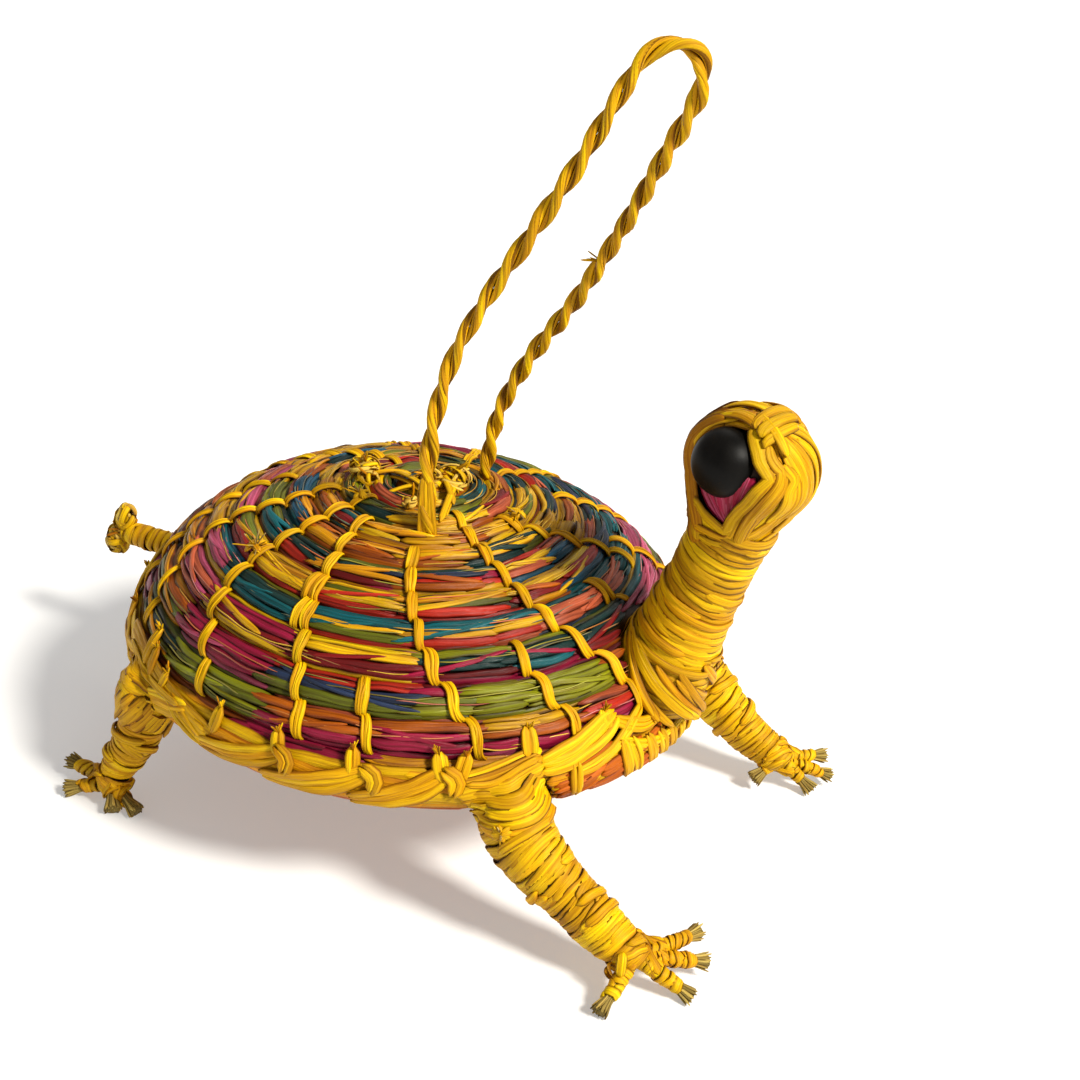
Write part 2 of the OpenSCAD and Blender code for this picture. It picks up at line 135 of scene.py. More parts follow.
# ---------- colours ----------
def srgb(code):
    parts = [int(code[i:i + 2], 16) / 255 for i in (0, 2, 4)]
    return np.array([c / 12.92 if c <= 0.04045 else ((c + 0.055) / 1.055) ** 2.4 for c in parts])


DYES = {
    "Y": srgb("F8CE02"), "G": srgb("DC9A00"), "O": srgb("BE620A"), "R": srgb("D43420"),
    "D": srgb("84181A"), "C": srgb("B01C4C"), "P": srgb("D65C8A"), "S": srgb("D46A46"),
    "T": srgb("107080"), "K": srgb("0E3A3A"), "B": srgb("1E6690"), "N": srgb("28385C"),
    "L": srgb("98A014"), "V": srgb("6E7814"),
}
KHAKI = srgb("B8A458")
# Dark brown of the cores inside bundles and limbs: painted shade, so the gaps between strips read as shadow
SHADOW_CORE_BROWN = srgb("3A2004")
STRAW = srgb("E8D890")


def tint(rng, letter, spread=0.13):
    """One strip's own shade of a dye: lighter or darker, and yellows lean to gold."""
    colour = DYES[letter].copy()
    if letter == "Y":
        colour += (DYES["G"] - colour) * rng.uniform(0, 0.7)
    return np.clip(colour * rng.uniform(1 - spread, 1 + spread), 0, 1)


# ---------- strips of fibre ----------
class Weave:
    """The strips of one piece. Each strip is a closed ribbon with ridges, a colour with painted shade at its edges and
    underside, and fibre coordinates.
    """

    def __init__(self, name):
        self.name = name
        self.rng = np.random.default_rng(zlib.crc32(name.encode()))
        self.points, self.tints, self.faces, self.uvs = [], [], [], []
        self.count = 0

    def strip(self, path, normal, width, thick, colour, taper=1.5, across=7, ridge=0.2, bulge=0.6,
              edge=0.6):
        """A ribbon along path, lying square to normal, pointed over the last `taper` mm at each end. `edge` sets how
        strongly painted shade darkens its edges.
        """
        path = np.asarray(path, float)
        n = len(path)
        if n < 3:
            return
        rng = self.rng
        s = run_length(path)
        width = np.broadcast_to(width, n) * (1 + wobble(rng, s, 14, 0.07))
        thick = np.broadcast_to(thick, n).astype(float)
        if taper > 0:
            inward = np.clip(np.minimum(s, s[-1] - s) / taper, 0, 1)
            shrink = 0.25 + 0.75 * np.sqrt(1 - (1 - inward) ** 2)
            width, thick = width * shrink, thick * (0.4 + 0.6 * shrink)
        tangent = unit(np.gradient(path, axis=0))
        side = unit(np.cross(tangent, normal))
        out = np.cross(side, tangent)
        # Rounded top with lengthwise ridges, flatter underside
        top = np.linspace(-1, 1, across)
        heights = []
        for x in top:
            lump = 0 if abs(x) == 1 else wobble(rng, s, 22, ridge) + rng.uniform(-ridge, ridge)
            heights.append(bulge * math.sqrt(max(1 - x * x, 0)) * (1 + lump))
        low = top[-2:0:-2] if across > 4 else np.array([0.0])
        heights += [np.full(n, -0.4 * math.sqrt(1 - x * x)) for x in low]
        xs = np.concatenate([top, low])
        ring = len(xs)
        heights = np.stack([np.broadcast_to(h, n) for h in heights], axis=1) * thick[:, None]
        lateral = xs[None, :] * width[:, None] / 2
        verts = path[:, None, :] + side[:, None, :] * lateral[:, :, None] + out[:, None, :] * heights[:, :, None]
        base = self.count
        i, j = np.meshgrid(np.arange(n - 1), np.arange(ring), indexing="ij")
        j2 = (j + 1) % ring
        quads = np.stack([i * ring + j, i * ring + j2, (i + 1) * ring + j2, (i + 1) * ring + j], axis=-1)
        shift = rng.uniform(0, 400, 2)
        along = np.broadcast_to((s + shift[0])[:, None], (n, ring))
        uv = np.stack([along, lateral + shift[1]], axis=-1)
        self.points.append(verts.reshape(-1, 3))
        self.uvs.append(uv.reshape(-1, 2))
        # A slow random change of tone along the strip, times painted shade: darker towards the edges, where strips meet
        # and shade each other, and darker on the underside (0.7). The power per channel turns the painted shade
        # orange-brown
        shade = (1 + wobble(rng, s, 30, 0.07))[:, None] * (1 - edge * np.abs(xs) ** 5)[None, :]
        shade[:, across:] *= 0.7
        self.tints.append((np.maximum(shade, 0.05)[:, :, None] ** (1, 1.3, 1.5) * colour).reshape(-1, 3))
        self.faces.append((quads.reshape(-1, 4) + base).tolist())
        cap = np.arange(ring)
        self.faces.append([(cap[::-1] + base).tolist(), (cap + base + (n - 1) * ring).tolist()])
        self.count += n * ring

    def tube(self, path, side, rx, ry, colour, sides=12):
        """A plain closed rod with an oval section, rx along side: the fibres inside a bundle."""
        path = np.asarray(path, float)
        n = len(path)
        if n < 3:
            return
        tangent = unit(np.gradient(path, axis=0))
        out = unit(np.cross(tangent, side))
        lateral = np.cross(out, tangent)
        angles = 2 * math.pi * np.arange(sides) / sides
        rx, ry = np.broadcast_to(rx, n), np.broadcast_to(ry, n)
        verts = (path[:, None, :] + lateral[:, None, :] * (rx[:, None] * np.cos(angles))[:, :, None]
                 + out[:, None, :] * (ry[:, None] * np.sin(angles))[:, :, None])
        i, j = np.meshgrid(np.arange(n - 1), np.arange(sides), indexing="ij")
        j2 = (j + 1) % sides
        quads = np.stack([i * sides + j, (i + 1) * sides + j, (i + 1) * sides + j2, i * sides + j2], axis=-1)
        s = run_length(path)
        uv = np.stack([np.broadcast_to(s[:, None], (n, sides)),
                       np.broadcast_to((angles * 2)[None, :], (n, sides))], axis=-1)
        base = self.count
        self.points.append(verts.reshape(-1, 3))
        self.uvs.append(uv.reshape(-1, 2))
        self.tints.append(np.repeat(colour[None, :], n * sides, axis=0))
        self.faces.append((quads.reshape(-1, 4) + base).tolist())
        cap = np.arange(sides)
        self.faces.append([(cap + base).tolist(), (cap[::-1] + base + (n - 1) * sides).tolist()])
        self.count += n * sides

    def tuft(self, root, direction, count, length, spread, width, colours, curl=0.5, up=(0, 0, 1), tip=0.8):
        """Cut fibre ends that fan out from root."""
        rng = self.rng
        direction = unit(direction)
        a = unit(np.cross(direction, unit(np.asarray(up, float) + 0.01)))
        b = np.cross(direction, a)
        for _ in range(count):
            angle, lean = rng.uniform(0, 2 * math.pi), spread * math.sqrt(rng.uniform(0.02, 1))
            out = math.cos(angle) * a + math.sin(angle) * b
            reach = length * rng.uniform(0.6, 1.0)
            t = np.linspace(0, 1, 8)[:, None]
            bend = rng.normal(0, curl, 3)
            path = (np.asarray(root) + out * 0.35 * lean * width * 3
                    + (direction * t + out * lean * t ** 1.4 + bend * 0.35 * t ** 2) * reach)
            self.strip(path, unit(np.cross(out, direction) + 0.3 * rng.normal(size=3)), width * rng.uniform(0.6, 1.3),
                       0.3, colours[rng.integers(len(colours))] * rng.uniform(0.85, 1.15), taper=tip, across=5)

    def curl(self, centre, radius, count, width, colours, squash=(1, 1, 1)):
        """A loose ball of curled ribbon ends."""
        rng = self.rng
        for _ in range(count):
            a, b = unit(rng.normal(size=3)), rng.normal(size=3)
            b = unit(b - (a @ b) * a)
            turn = np.linspace(0, rng.uniform(1.8, 3.4), 12)[:, None]
            size = radius * rng.uniform(0.55, 1.0) * (1 + 0.15 * np.sin(turn * 2 + rng.uniform(0, 6)))
            out = np.cos(turn) * a + np.sin(turn) * b
            self.strip(np.asarray(centre) + out * size * squash, out, width * rng.uniform(0.7, 1.2), 0.35,
                       colours[rng.integers(len(colours))] * rng.uniform(0.85, 1.1), taper=0.7, across=6)

    def mesh_object(self, material):
        points = np.concatenate(self.points) * MM
        mesh = bpy.data.meshes.new(self.name)
        faces = [face for group in self.faces for face in group]
        mesh.from_pydata(points.tolist(), [], faces)
        tints = np.concatenate(self.tints)
        # The tint attribute holds each strip's colour together with the painted shade from strip()
        colour = mesh.attributes.new("tint", "FLOAT_COLOR", "POINT")
        rgba = np.concatenate([np.clip(tints, 0, 1), np.ones((len(tints), 1))], axis=1)
        colour.data.foreach_set("color", rgba.astype(np.float32).ravel())
        layer = mesh.uv_layers.new(name="fibre")
        corner = np.zeros(len(mesh.loops), np.int32)
        mesh.loops.foreach_get("vertex_index", corner)
        layer.data.foreach_set("uv", np.concatenate(self.uvs)[corner].astype(np.float32).ravel())
        mesh.polygons.foreach_set("use_smooth", [True] * len(mesh.polygons))
        mesh.materials.append(material)
        mesh.update()
        obj = bpy.data.objects.new(self.name, mesh)
        bpy.context.scene.collection.objects.link(obj)
        return obj


# ---------- materials ----------
def fibre_material(name, streak_low, roughness_low, roughness_high, depth, specular):
    """Dyed palm fibre: long streaks and fine fibres along each strip, satin where the dye lies thick."""
    material = bpy.data.materials.new(name)
    material.use_nodes = True
    nodes, links = material.node_tree.nodes, material.node_tree.links
    shader = nodes["Principled BSDF"]
    uv = nodes.new("ShaderNodeUVMap")
    uv.uv_map = "fibre"
    shader.inputs["Specular IOR Level"].default_value = specular
    # The tint attribute: dye colour times the painted shade at strip edges and undersides
    dye = nodes.new("ShaderNodeAttribute")
    dye.attribute_name = "tint"

    def streaks(along, across, detail):
        mapping = nodes.new("ShaderNodeMapping")
        mapping.inputs["Scale"].default_value = (along, across, 1)
        noise = nodes.new("ShaderNodeTexNoise")
        noise.inputs["Scale"].default_value = 1
        noise.inputs["Detail"].default_value = detail
        noise.inputs["Roughness"].default_value = 0.6
        links.new(uv.outputs["UV"], mapping.inputs["Vector"])
        links.new(mapping.outputs["Vector"], noise.inputs["Vector"])
        return noise

    broad, fine = streaks(0.05, 1.6, 3), streaks(0.12, 7.0, 4)
    ramp = nodes.new("ShaderNodeValToRGB")
    ramp.color_ramp.elements[0].position, ramp.color_ramp.elements[1].position = 0.32, 0.58
    ramp.color_ramp.elements[0].color = (*streak_low, 1)
    ramp.color_ramp.elements[1].color = (1.0, 1.0, 1.0, 1)
    pale = nodes.new("ShaderNodeValToRGB")
    pale.color_ramp.elements[0].position, pale.color_ramp.elements[1].position = 0.36, 0.70
    pale.color_ramp.elements[0].color = (0.72, 0.64, 0.50, 1)
    pale.color_ramp.elements[1].color = (1.0, 1.0, 1.0, 1)
    first = nodes.new("ShaderNodeMix")
    second = nodes.new("ShaderNodeMix")
    for mix in (first, second):
        mix.data_type, mix.blend_type = "RGBA", "MULTIPLY"
        mix.inputs["Factor"].default_value = 1
    links.new(broad.outputs["Fac"], ramp.inputs["Fac"])
    links.new(fine.outputs["Fac"], pale.inputs["Fac"])
    links.new(dye.outputs["Color"], first.inputs["A"])
    links.new(ramp.outputs["Color"], first.inputs["B"])
    links.new(first.outputs["Result"], second.inputs["A"])
    links.new(pale.outputs["Color"], second.inputs["B"])
    links.new(second.outputs["Result"], shader.inputs["Base Color"])
    gloss = nodes.new("ShaderNodeMapRange")
    gloss.inputs["From Min"].default_value, gloss.inputs["From Max"].default_value = 0.3, 0.7
    gloss.inputs["To Min"].default_value, gloss.inputs["To Max"].default_value = roughness_high, roughness_low
    links.new(broad.outputs["Fac"], gloss.inputs["Value"])
    links.new(gloss.outputs["Result"], shader.inputs["Roughness"])
    bump_fine = nodes.new("ShaderNodeBump")
    bump_fine.inputs["Distance"].default_value = depth * MM
    bump_broad = nodes.new("ShaderNodeBump")
    bump_broad.inputs["Distance"].default_value = 2.2 * depth * MM
    links.new(fine.outputs["Fac"], bump_fine.inputs["Height"])
    links.new(broad.outputs["Fac"], bump_broad.inputs["Height"])
    links.new(bump_fine.outputs["Normal"], bump_broad.inputs["Normal"])
    links.new(bump_broad.outputs["Normal"], shader.inputs["Normal"])
    return material


def seed_material():
    """Black seed: satin skin with faint pits and dull patches."""
    material = bpy.data.materials.new("seed")
    material.use_nodes = True
    nodes, links = material.node_tree.nodes, material.node_tree.links
    shader = nodes["Principled BSDF"]
    place = nodes.new("ShaderNodeTexCoord")
    skin = nodes.new("ShaderNodeTexNoise")
    skin.inputs["Scale"].default_value = 420
    skin.inputs["Detail"].default_value = 5
    ramp = nodes.new("ShaderNodeValToRGB")
    ramp.color_ramp.elements[0].color = (0.001, 0.001, 0.001, 1)
    ramp.color_ramp.elements[1].color = (0.006, 0.005, 0.004, 1)
    gloss = nodes.new("ShaderNodeMapRange")
    gloss.inputs["To Min"].default_value, gloss.inputs["To Max"].default_value = 0.34, 0.55
    shader.inputs["Specular IOR Level"].default_value = 0.10
    bump = nodes.new("ShaderNodeBump")
    bump.inputs["Distance"].default_value = 0.05 * MM
    links.new(place.outputs["Object"], skin.inputs["Vector"])
    links.new(skin.outputs["Fac"], ramp.inputs["Fac"])
    links.new(ramp.outputs["Color"], shader.inputs["Base Color"])
    links.new(skin.outputs["Fac"], gloss.inputs["Value"])
    links.new(gloss.outputs["Result"], shader.inputs["Roughness"])
    links.new(skin.outputs["Fac"], bump.inputs["Height"])
    links.new(bump.outputs["Normal"], shader.inputs["Normal"])
    return material


STRIP = fibre_material("dyed_strip", (0.42, 0.28, 0.20), 0.30, 0.52, 0.10, 0.22)
WRAP = fibre_material("yellow_wrap", (0.58, 0.42, 0.20), 0.42, 0.62, 0.12, 0.14)
BRUSH = fibre_material("raw_fibre", (0.52, 0.44, 0.34), 0.55, 0.75, 0.10, 0.15)


def place(weave, material, body, slot, *nodes):
    """Adds a finished piece that moves with one body and stands for the CAD nodes named."""
    obj = weave.mesh_object(material)
    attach(obj, body)
    if nodes:
        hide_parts(*nodes)
    return obj


# ---------- the dome ----------
COIL_A, COIL_B, RIM_Z, COIL_R = 57.2, 35.2, 30.0, 2.8
BUTTON, ROUNDS = 3.0, 12
_q = np.linspace(0, math.pi / 2, 400)
_run = run_length(np.stack([COIL_A * np.sin(_q), COIL_B * np.cos(_q)], axis=1))
PITCH = (_run[-1] - BUTTON) / ROUNDS


def dome(s, theta, height, tilt=0.0):
    """Point and normal on the dome: s from the crown, theta round it, height over the coil centres.
    tilt leans the normal towards the rim, in radians."""
    s, theta, height = np.broadcast_arrays(np.asarray(s, float), np.asarray(theta, float), np.asarray(height, float))
    q = np.interp(s, _run, _q)
    below = np.maximum(s - _run[-1], 0)
    nr, nz = COIL_B * np.sin(q), COIL_A * np.cos(q)
    size = np.hypot(nr, nz)
    nr, nz = nr / size, nz / size
    r = COIL_A * np.sin(q) + height * nr
    z = RIM_Z + COIL_B * np.cos(q) + height * nz - below
    lean_r = nr * np.cos(tilt) + nz * np.sin(tilt)
    lean_z = nz * np.cos(tilt) - nr * np.sin(tilt)
    c, d = np.cos(np.radians(theta)), np.sin(np.radians(theta))
    return np.stack([r * c, r * d, z], axis=-1), np.stack([lean_r * c, lean_r * d, lean_z], axis=-1)


# The coil was started off the shell's axis: on the front and left its rounds sit nearer the crown
SHIFT_SHARE = [0.2, 0.4, 0.6, 0.7, 0.8, 1, 1, 1, 1, 0.8, 0.6, 0.3, 0]


def shift(v, theta):
    lift = 1 - np.cos(np.radians(np.asarray(theta) + 105))
    lift = lift / (1 + (lift / 1.25) ** 4) ** 0.25
    return np.interp(v, np.arange(1, 14), SHIFT_SHARE) * (0.2 + 0.75 * lift)


def round_edge(v, theta):
    """Length from the crown to the upper edge of round v."""
    return BUTTON + (v - 1 - shift(v, theta)) * PITCH


# ---------- stitch rows ----------
# Each row: the model round it starts on, then its angle at each round it crosses
STITCH_ROWS = [
    (3, [-116.5, -116, -116, -116, -116.5, -116, -113.5, -109, -104.5]),
    (4, [-98.5, -95, -93, -91.5, -89, -87, -85, -81.5]),
    (5, [-67.5, -65.5, -63.5, -60.5, -57, -52.5, -47]),
    (3, [-41.5, -38.5, -35, -32, -28.5, -24, -18, -12]),
    (3, [-14, -3, 7, 15, 21]),
    (7, [-5, 4]),
    (7, [27, 32.5, 34, 36, 38]),
    (8, [-38.5, -36.5, -31.5, -27]),
    (10, [-72, -68]),
    (4, [-141, -138, -141, -143.5, -141, -138, -135, -131]),
    (6, [-163, -160, -157, -154, -151, -148]),
    (3, [160, 164, 168, 171, 174, 177, 180, 183, 186]),
    (3, [128, 131, 134, 137, 140, 143, 146, 149, 152]),
    (3, [96, 99, 102, 105, 108, 111, 114, 117, 120]),
    (3, [66, 69, 72, 75, 78, 81, 84, 87, 90]),
    (5, [45, 48, 51, 54, 57, 60, 63]),
]


def row_angle(row, position):
    first, angles = STITCH_ROWS[row]
    return float(np.interp(position, first + 0.5 + np.arange(len(angles)), angles))


def row_stitches(row):
    """(round, angle at its upper edge, angle at its lower edge) of each stitch in a row."""
    first, angles = STITCH_ROWS[row]
    middle = sum(angles) / len(angles)
    found = []
    for v in range(first, ROUNDS + 1):
        centre = v + 0.5 - float(shift(v + 0.5, middle))
        if first - 0.1 <= centre <= first + len(angles) + 0.35:
            top = row_angle(row, v - float(shift(v, middle)))
            found.append((v, top, row_angle(row, v + 1 - float(shift(v + 1, middle)))))
    return found


ALL_STITCHES = [row_stitches(row) for row in range(len(STITCH_ROWS))]


def pinch(v, theta, radius):
    """1 between stitches, less where a stitch pulls round v in."""
    result = np.ones_like(theta, dtype=float)
    for stitches in ALL_STITCHES:
        for w, top, low in stitches:
            if w == v:
                away = (theta - (top + low) / 2 + 180) % 360 - 180
                result -= 0.17 * np.exp(-((np.radians(away) * radius) / 2.2) ** 2)
    return result


# ---------- rooms the limbs' balls turn in ----------
NECK_AT, NECK_LEAN, NECK_LEN = np.array([54.8, 0, 42.0]), math.radians(15.5), 41.0
NECK_DIR = np.array([math.sin(NECK_LEAN), 0, math.cos(NECK_LEAN)])
TAIL_AT = np.array([-58.5, 0, 31.0])
TAIL_DIR = np.array([-math.cos(math.radians(3)), 0, -math.sin(math.radians(3))])
LEGS = {
    "front_right": {
        "route": [[46, -40.4, 25.6], [48.6, -41.2, 22.4], [53, -41.4, 18.8],
                  [58.7, -41.2, 15.1], [65.9, -41, 10.7], [71, -40.7, 8]],
        "radii": [7.4, 7.1, 6.4, 5.6, 5, 4.2],
        "tips": [[81, -25.6, 6.5], [84.8, -29.2, 3.4], [85.9, -38.3, 1.2], [72.8, -52.6, 1.2]]},
    "front_left": {
        "route": [[46, 40.4, 25.6], [49, 40.9, 22.2], [53, 41.1, 18.9],
                  [57.5, 41.2, 15.4], [63.5, 41.5, 11], [69.3, 42, 8.3]],
        "radii": [7.4, 7, 6.4, 5.8, 4.7, 4.1],
        "tips": [[80, 51.6, 6.3], [82.6, 50.3, 2.4], [80.6, 43.4, 1.2], [68.2, 36.8, 2.6]]},
    "rear_right": {
        "route": [[-35.4, -49.2, 25.6], [-35.5, -49.4, 22], [-36, -49.9, 17.4],
                  [-37.1, -50.6, 13], [-38.2, -51.2, 9.6], [-38.9, -51.8, 7]],
        "radii": [6.6, 6.1, 5.3, 4.6, 3.9, 3.4],
        "tips": [[-52.6, -50.1, 3.6], [-48.5, -56.2, 1.2], [-35.8, -56.4, 1.2], [-31.6, -53.8, 1.2]]},
}
LEGS["rear_left"] = {
    "route": [[x, -y, z] for x, y, z in LEGS["rear_right"]["route"]],
    "radii": LEGS["rear_right"]["radii"],
    "tips": [[x, -y, z] for x, y, z in LEGS["rear_right"]["tips"]]}

ROOMS = [(NECK_AT, 9.8), (NECK_AT + 5 * NECK_DIR, 10.4), (NECK_AT + 10 * NECK_DIR, 10.8),
         (NECK_AT + 14 * NECK_DIR - (1.6, 0, 0), 10.7), (TAIL_AT, 4.2)]
for leg in LEGS.values():
    hip = np.array(leg["route"][0])
    hip_out = unit(np.array(leg["route"][1]) - hip)
    ROOMS += [(hip, leg["radii"][0] + 0.7), (hip + 4 * hip_out, leg["radii"][0] + 1.2)]


def clear(path, margin=0.4):
    """True where a path keeps out of the rooms that the limbs turn in."""
    keep = np.ones(len(path), bool)
    for centre, radius in ROOMS:
        keep &= np.linalg.norm(path - centre, axis=1) > radius + margin
    return keep


def strip_clear(weave, path, normal, width, thick, colour, **options):
    """A strip that stops short of the limbs' rooms."""
    width, thick = np.broadcast_to(width, len(path)), np.broadcast_to(thick, len(path))
    for a, b in runs(clear(path)):
        weave.strip(path[a:b], normal[a:b], width[a:b], thick[a:b], colour, **options)


# ---------- carapace rounds ----------
# Strips of each round, crown side first, between two angles
COLOURS = {
    1: "-180,-100,OKO -100,-20,YGY -20,60,GYO 60,180,OYG",
    2: "-180,-130,KVYK -130,-82,KKKSR -82,-55,YYG -55,-28,KLVL -28,0,YTKL 0,50,YKTY 50,120,GOKY 120,180,YVOK",
    3: "-180,-150,YGYO -150,-124,YLVY -124,-82,KVVKV -82,-58,GYYG -58,-38,LLYY -38,-15,YKYO -15,30,YDSY "
       "30,90,YGOY 90,140,VVK 140,180,RDY",
    4: "-180,-158,RSYY -158,-140,YGY -140,-117,OGOG -117,-103,TTDK -103,-74,GGYG -74,-48,YGYG -48,-30,YGOY "
       "-30,-8,SYYY -8,5,YYY 5,45,KYVYO 45,100,TKY 100,140,OGO 140,180,YLVY",
    5: "-180,-160,YOG -160,-143,TBBS -143,-120,OGBT -120,-98,OOGO -98,-70,OGOO -70,-42,YGYOG -42,-20,YKYK "
       "-20,8,KYYV 8,20,YY 20,50,SYKNY 50,100,RSR 100,150,YGVV 150,180,TKB",
    6: "-180,-160,YYOY -160,-143,LVLR -143,-120,KVTTO -120,-97,VKKRS -97,-70,LVKGDC -70,-42,VKNROY "
       "-42,-34,VKCRY -34,-10,RRYSB -10,8,RSBBY 8,20,YY 20,50,YOYY 50,95,TTB 95,140,CPC 140,180,GYO",
    7: "-180,-162,PSPP -162,-143,SPPY -143,-119,YVRR -119,-94,GYGYR -94,-69,GYVYRR -69,-33,YYGVRR "
       "-33,-12,YYDGO -12,12,YYRBT 12,35,RSKNK 35,70,KNTK 70,110,LLV 110,150,SOR 150,180,YGY",
    8: "-180,-162,YYYY -162,-143,YYGY -143,-119,BTPPY -119,-92,LKTTO -92,-64,TTTYVR -64,-41,TTTYRR "
       "-41,-27,TTYRS -27,-12,KTSSN -12,12,TTSSK 12,35,TTTT 35,75,TTPP 75,120,YOGR 120,150,VVL 150,180,CPC",
    9: "-180,-160,GOGO -160,-141,OGYO -141,-118,YPSPSC -118,-90,YCCDYY -90,-60,YYYDDY -60,-41,VLKKDC "
       "-41,-22,VLKKTC -22,0,VKKDO 0,35,YTPPPC 35,70,PPP 70,110,TTK 110,150,YYG 150,180,ROS",
    10: "-180,-150,OGOK -150,-120,GOVG -120,-92,RCCCP -92,-60,RRNVV -60,-50,DCVLL -50,-36,CLLLL "
        "-36,-15,CLLLLL -15,0,DODO 0,40,CPCO 40,90,LVLL 90,130,KTT 130,180,SRY",
    11: "-180,-140,CPCD -140,-118,VKVG -118,-90,VLVLVO -90,-69,SOOCC -69,-48,SOCCC -48,-38,YYOCP "
        "-38,-26,YYOCC -26,-10,SRCPY -10,40,OGOG 40,90,CCC 90,140,YOO 140,180,TTK",
    12: "-180,-130,GYGO -130,-95,OGYO -95,-66,CCGO -66,-40,GYGO -40,0,OGYO 0,60,YOYG 60,120,OYGO 120,180,GOYY",
}
SLOT_OF = {"Y": "strip_yellow", "G": "strip_gold", "O": "strip_orange", "R": "strip_red", "D": "strip_red",
           "S": "strip_orange", "C": "strip_pink", "P": "strip_pink", "T": "strip_teal", "K": "strip_teal",
           "B": "strip_teal", "N": "strip_teal", "L": "strip_olive", "V": "strip_olive"}
BUNDLE_H = 2.75
TOP_SPAN = math.radians(76)


def bundle_section(v, theta):
    """Middle, half width and height of round v's bundle at theta."""
    low, high = round_edge(v, theta), round_edge(v + 1, theta)
    middle, half = (low + high) / 2, (high - low) / 2
    radius = COIL_A * np.sin(np.interp(middle, _run, _q))
    squeeze = pinch(v, theta, np.maximum(radius, 5))
    return middle, half * (0.35 + 0.65 * squeeze), BUNDLE_H * squeeze, radius


def carapace_round(v):
    weave = Weave(f"round_{v:02d}_strips")
    rng = weave.rng
    mean_radius = float(np.interp(BUTTON + (v - 0.5) * PITCH, _run, COIL_A * np.sin(_q)))
    step = math.degrees(1.3 / max(mean_radius, 6))
    ring = np.arange(-180, 180.01, step * 1.6)
    middle, half, height, _ = bundle_section(v, ring)
    path, normal = dome(middle, ring, -0.1)
    downhill = unit(np.cross(np.gradient(path, axis=0), normal))
    # The dark brown core is painted shade that shows through the gaps between the strips
    for a, b in runs(clear(path, 1.6)):
        weave.tube(path[a:b], downhill[a:b], half[a:b] * 0.86, height[a:b] * 0.72, SHADOW_CORE_BROWN, sides=12)
    weights = {}
    for part in COLOURS[v].split():
        start, end, letters = part.split(",")
        start, end = float(start), float(end)
        over = math.degrees(4.4 / max(mean_radius, 6))
        theta = np.arange(start - over, end + over, step)
        reach = min(6 / 1.3, len(theta) / 4)
        s = np.radians(theta - theta[0]) * mean_radius
        middle, half, height, _ = bundle_section(v, theta)
        cuts = np.cumsum([0] + [rng.uniform(0.7, 1.4) for _ in letters])
        cuts = -TOP_SPAN + 2 * TOP_SPAN * cuts / cuts[-1]
        for i, letter in enumerate(letters):
            weights[letter] = weights.get(letter, 0) + end - start
            turn = (cuts[i] + cuts[i + 1]) / 2 + wobble(rng, s, 26, 0.07)
            wide = (cuts[i + 1] - cuts[i]) * (half + height) / 2 * rng.uniform(1.25, 1.5)
            a, b = int(rng.uniform(0, reach)), len(theta) - int(rng.uniform(0, reach))
            sink = np.clip(1 - np.minimum(s - s[a], s[b - 1] - s) / 4.5, 0, 1) * 0.6
            lift = height * (1 + wobble(rng, s, 20, 0.05)) - sink - 0.25 + rng.uniform(-0.15, 0.15)
            along = middle + (half + 0.05) * np.sin(turn)
            lean = np.arctan2(np.sin(turn) * height, np.cos(turn) * half) + wobble(rng, s, 24, 0.22)
            path, normal = dome(along, theta, lift * np.cos(turn), lean)
            # Darker dye for letters other than yellow and gold, times painted shade that darkens strips towards the
            # crown and rim sides of each bundle, in the grooves where rounds shade each other; edge=0.88 paints strong
            # shade along each strip's edges
            darker_dye_and_bundle_shade = (0.92 if letter in "YG" else 0.78) * (1 - 0.6 * abs(turn.mean() / TOP_SPAN) ** 2.5)
            strip_clear(weave, path[a:b], normal[a:b], wide[a:b], rng.uniform(0.7, 1.05), tint(rng, letter, 0.2) * darker_dye_and_bundle_shade,
                        taper=6.5, across=8, edge=0.88)
        # A strip that wanders across the bundle
        if end - start > 18 and v > 2:
            turn = np.linspace(-0.8, 0.8, len(theta)) * rng.choice([-1, 1])
            path, normal = dome(middle + half * np.sin(turn), theta, (height + 0.1) * np.cos(turn), turn * 0.8)
            a = int(rng.uniform(0, 0.3) * len(theta))
            b = int(rng.uniform(0.6, 1.0) * len(theta))
            strip_clear(weave, path[a:b], normal[a:b], rng.uniform(0.9, 1.5), 0.55,
                        tint(rng, letters[rng.integers(len(letters))]), taper=6, across=7)
        # Loose fine fibres that stand a little proud of the bundle
        for _ in range(2):
            a = rng.uniform(0, max(len(theta) - 14, 1))
            b = int(min(a + rng.uniform(10, 26), len(theta)))
            a = int(a)
            turn = rng.uniform(-0.9, 0.9) + wobble(rng, s, 30, 0.12)
            path, normal = dome(middle + half * np.sin(turn), theta, (height + 0.22) * np.cos(turn))
            colour = tint(rng, letters[rng.integers(len(letters))]) * 0.75 + STRAW * 0.25
            strip_clear(weave, path[a:b], normal[a:b], 0.3, 0.3, colour, taper=3, across=4)
    most = max(weights, key=weights.get)
    place(weave, STRIP, "shell", SLOT_OF[most], f"carapace_round_{v:02d}")


for v in range(1, ROUNDS + 1):
    carapace_round(v)


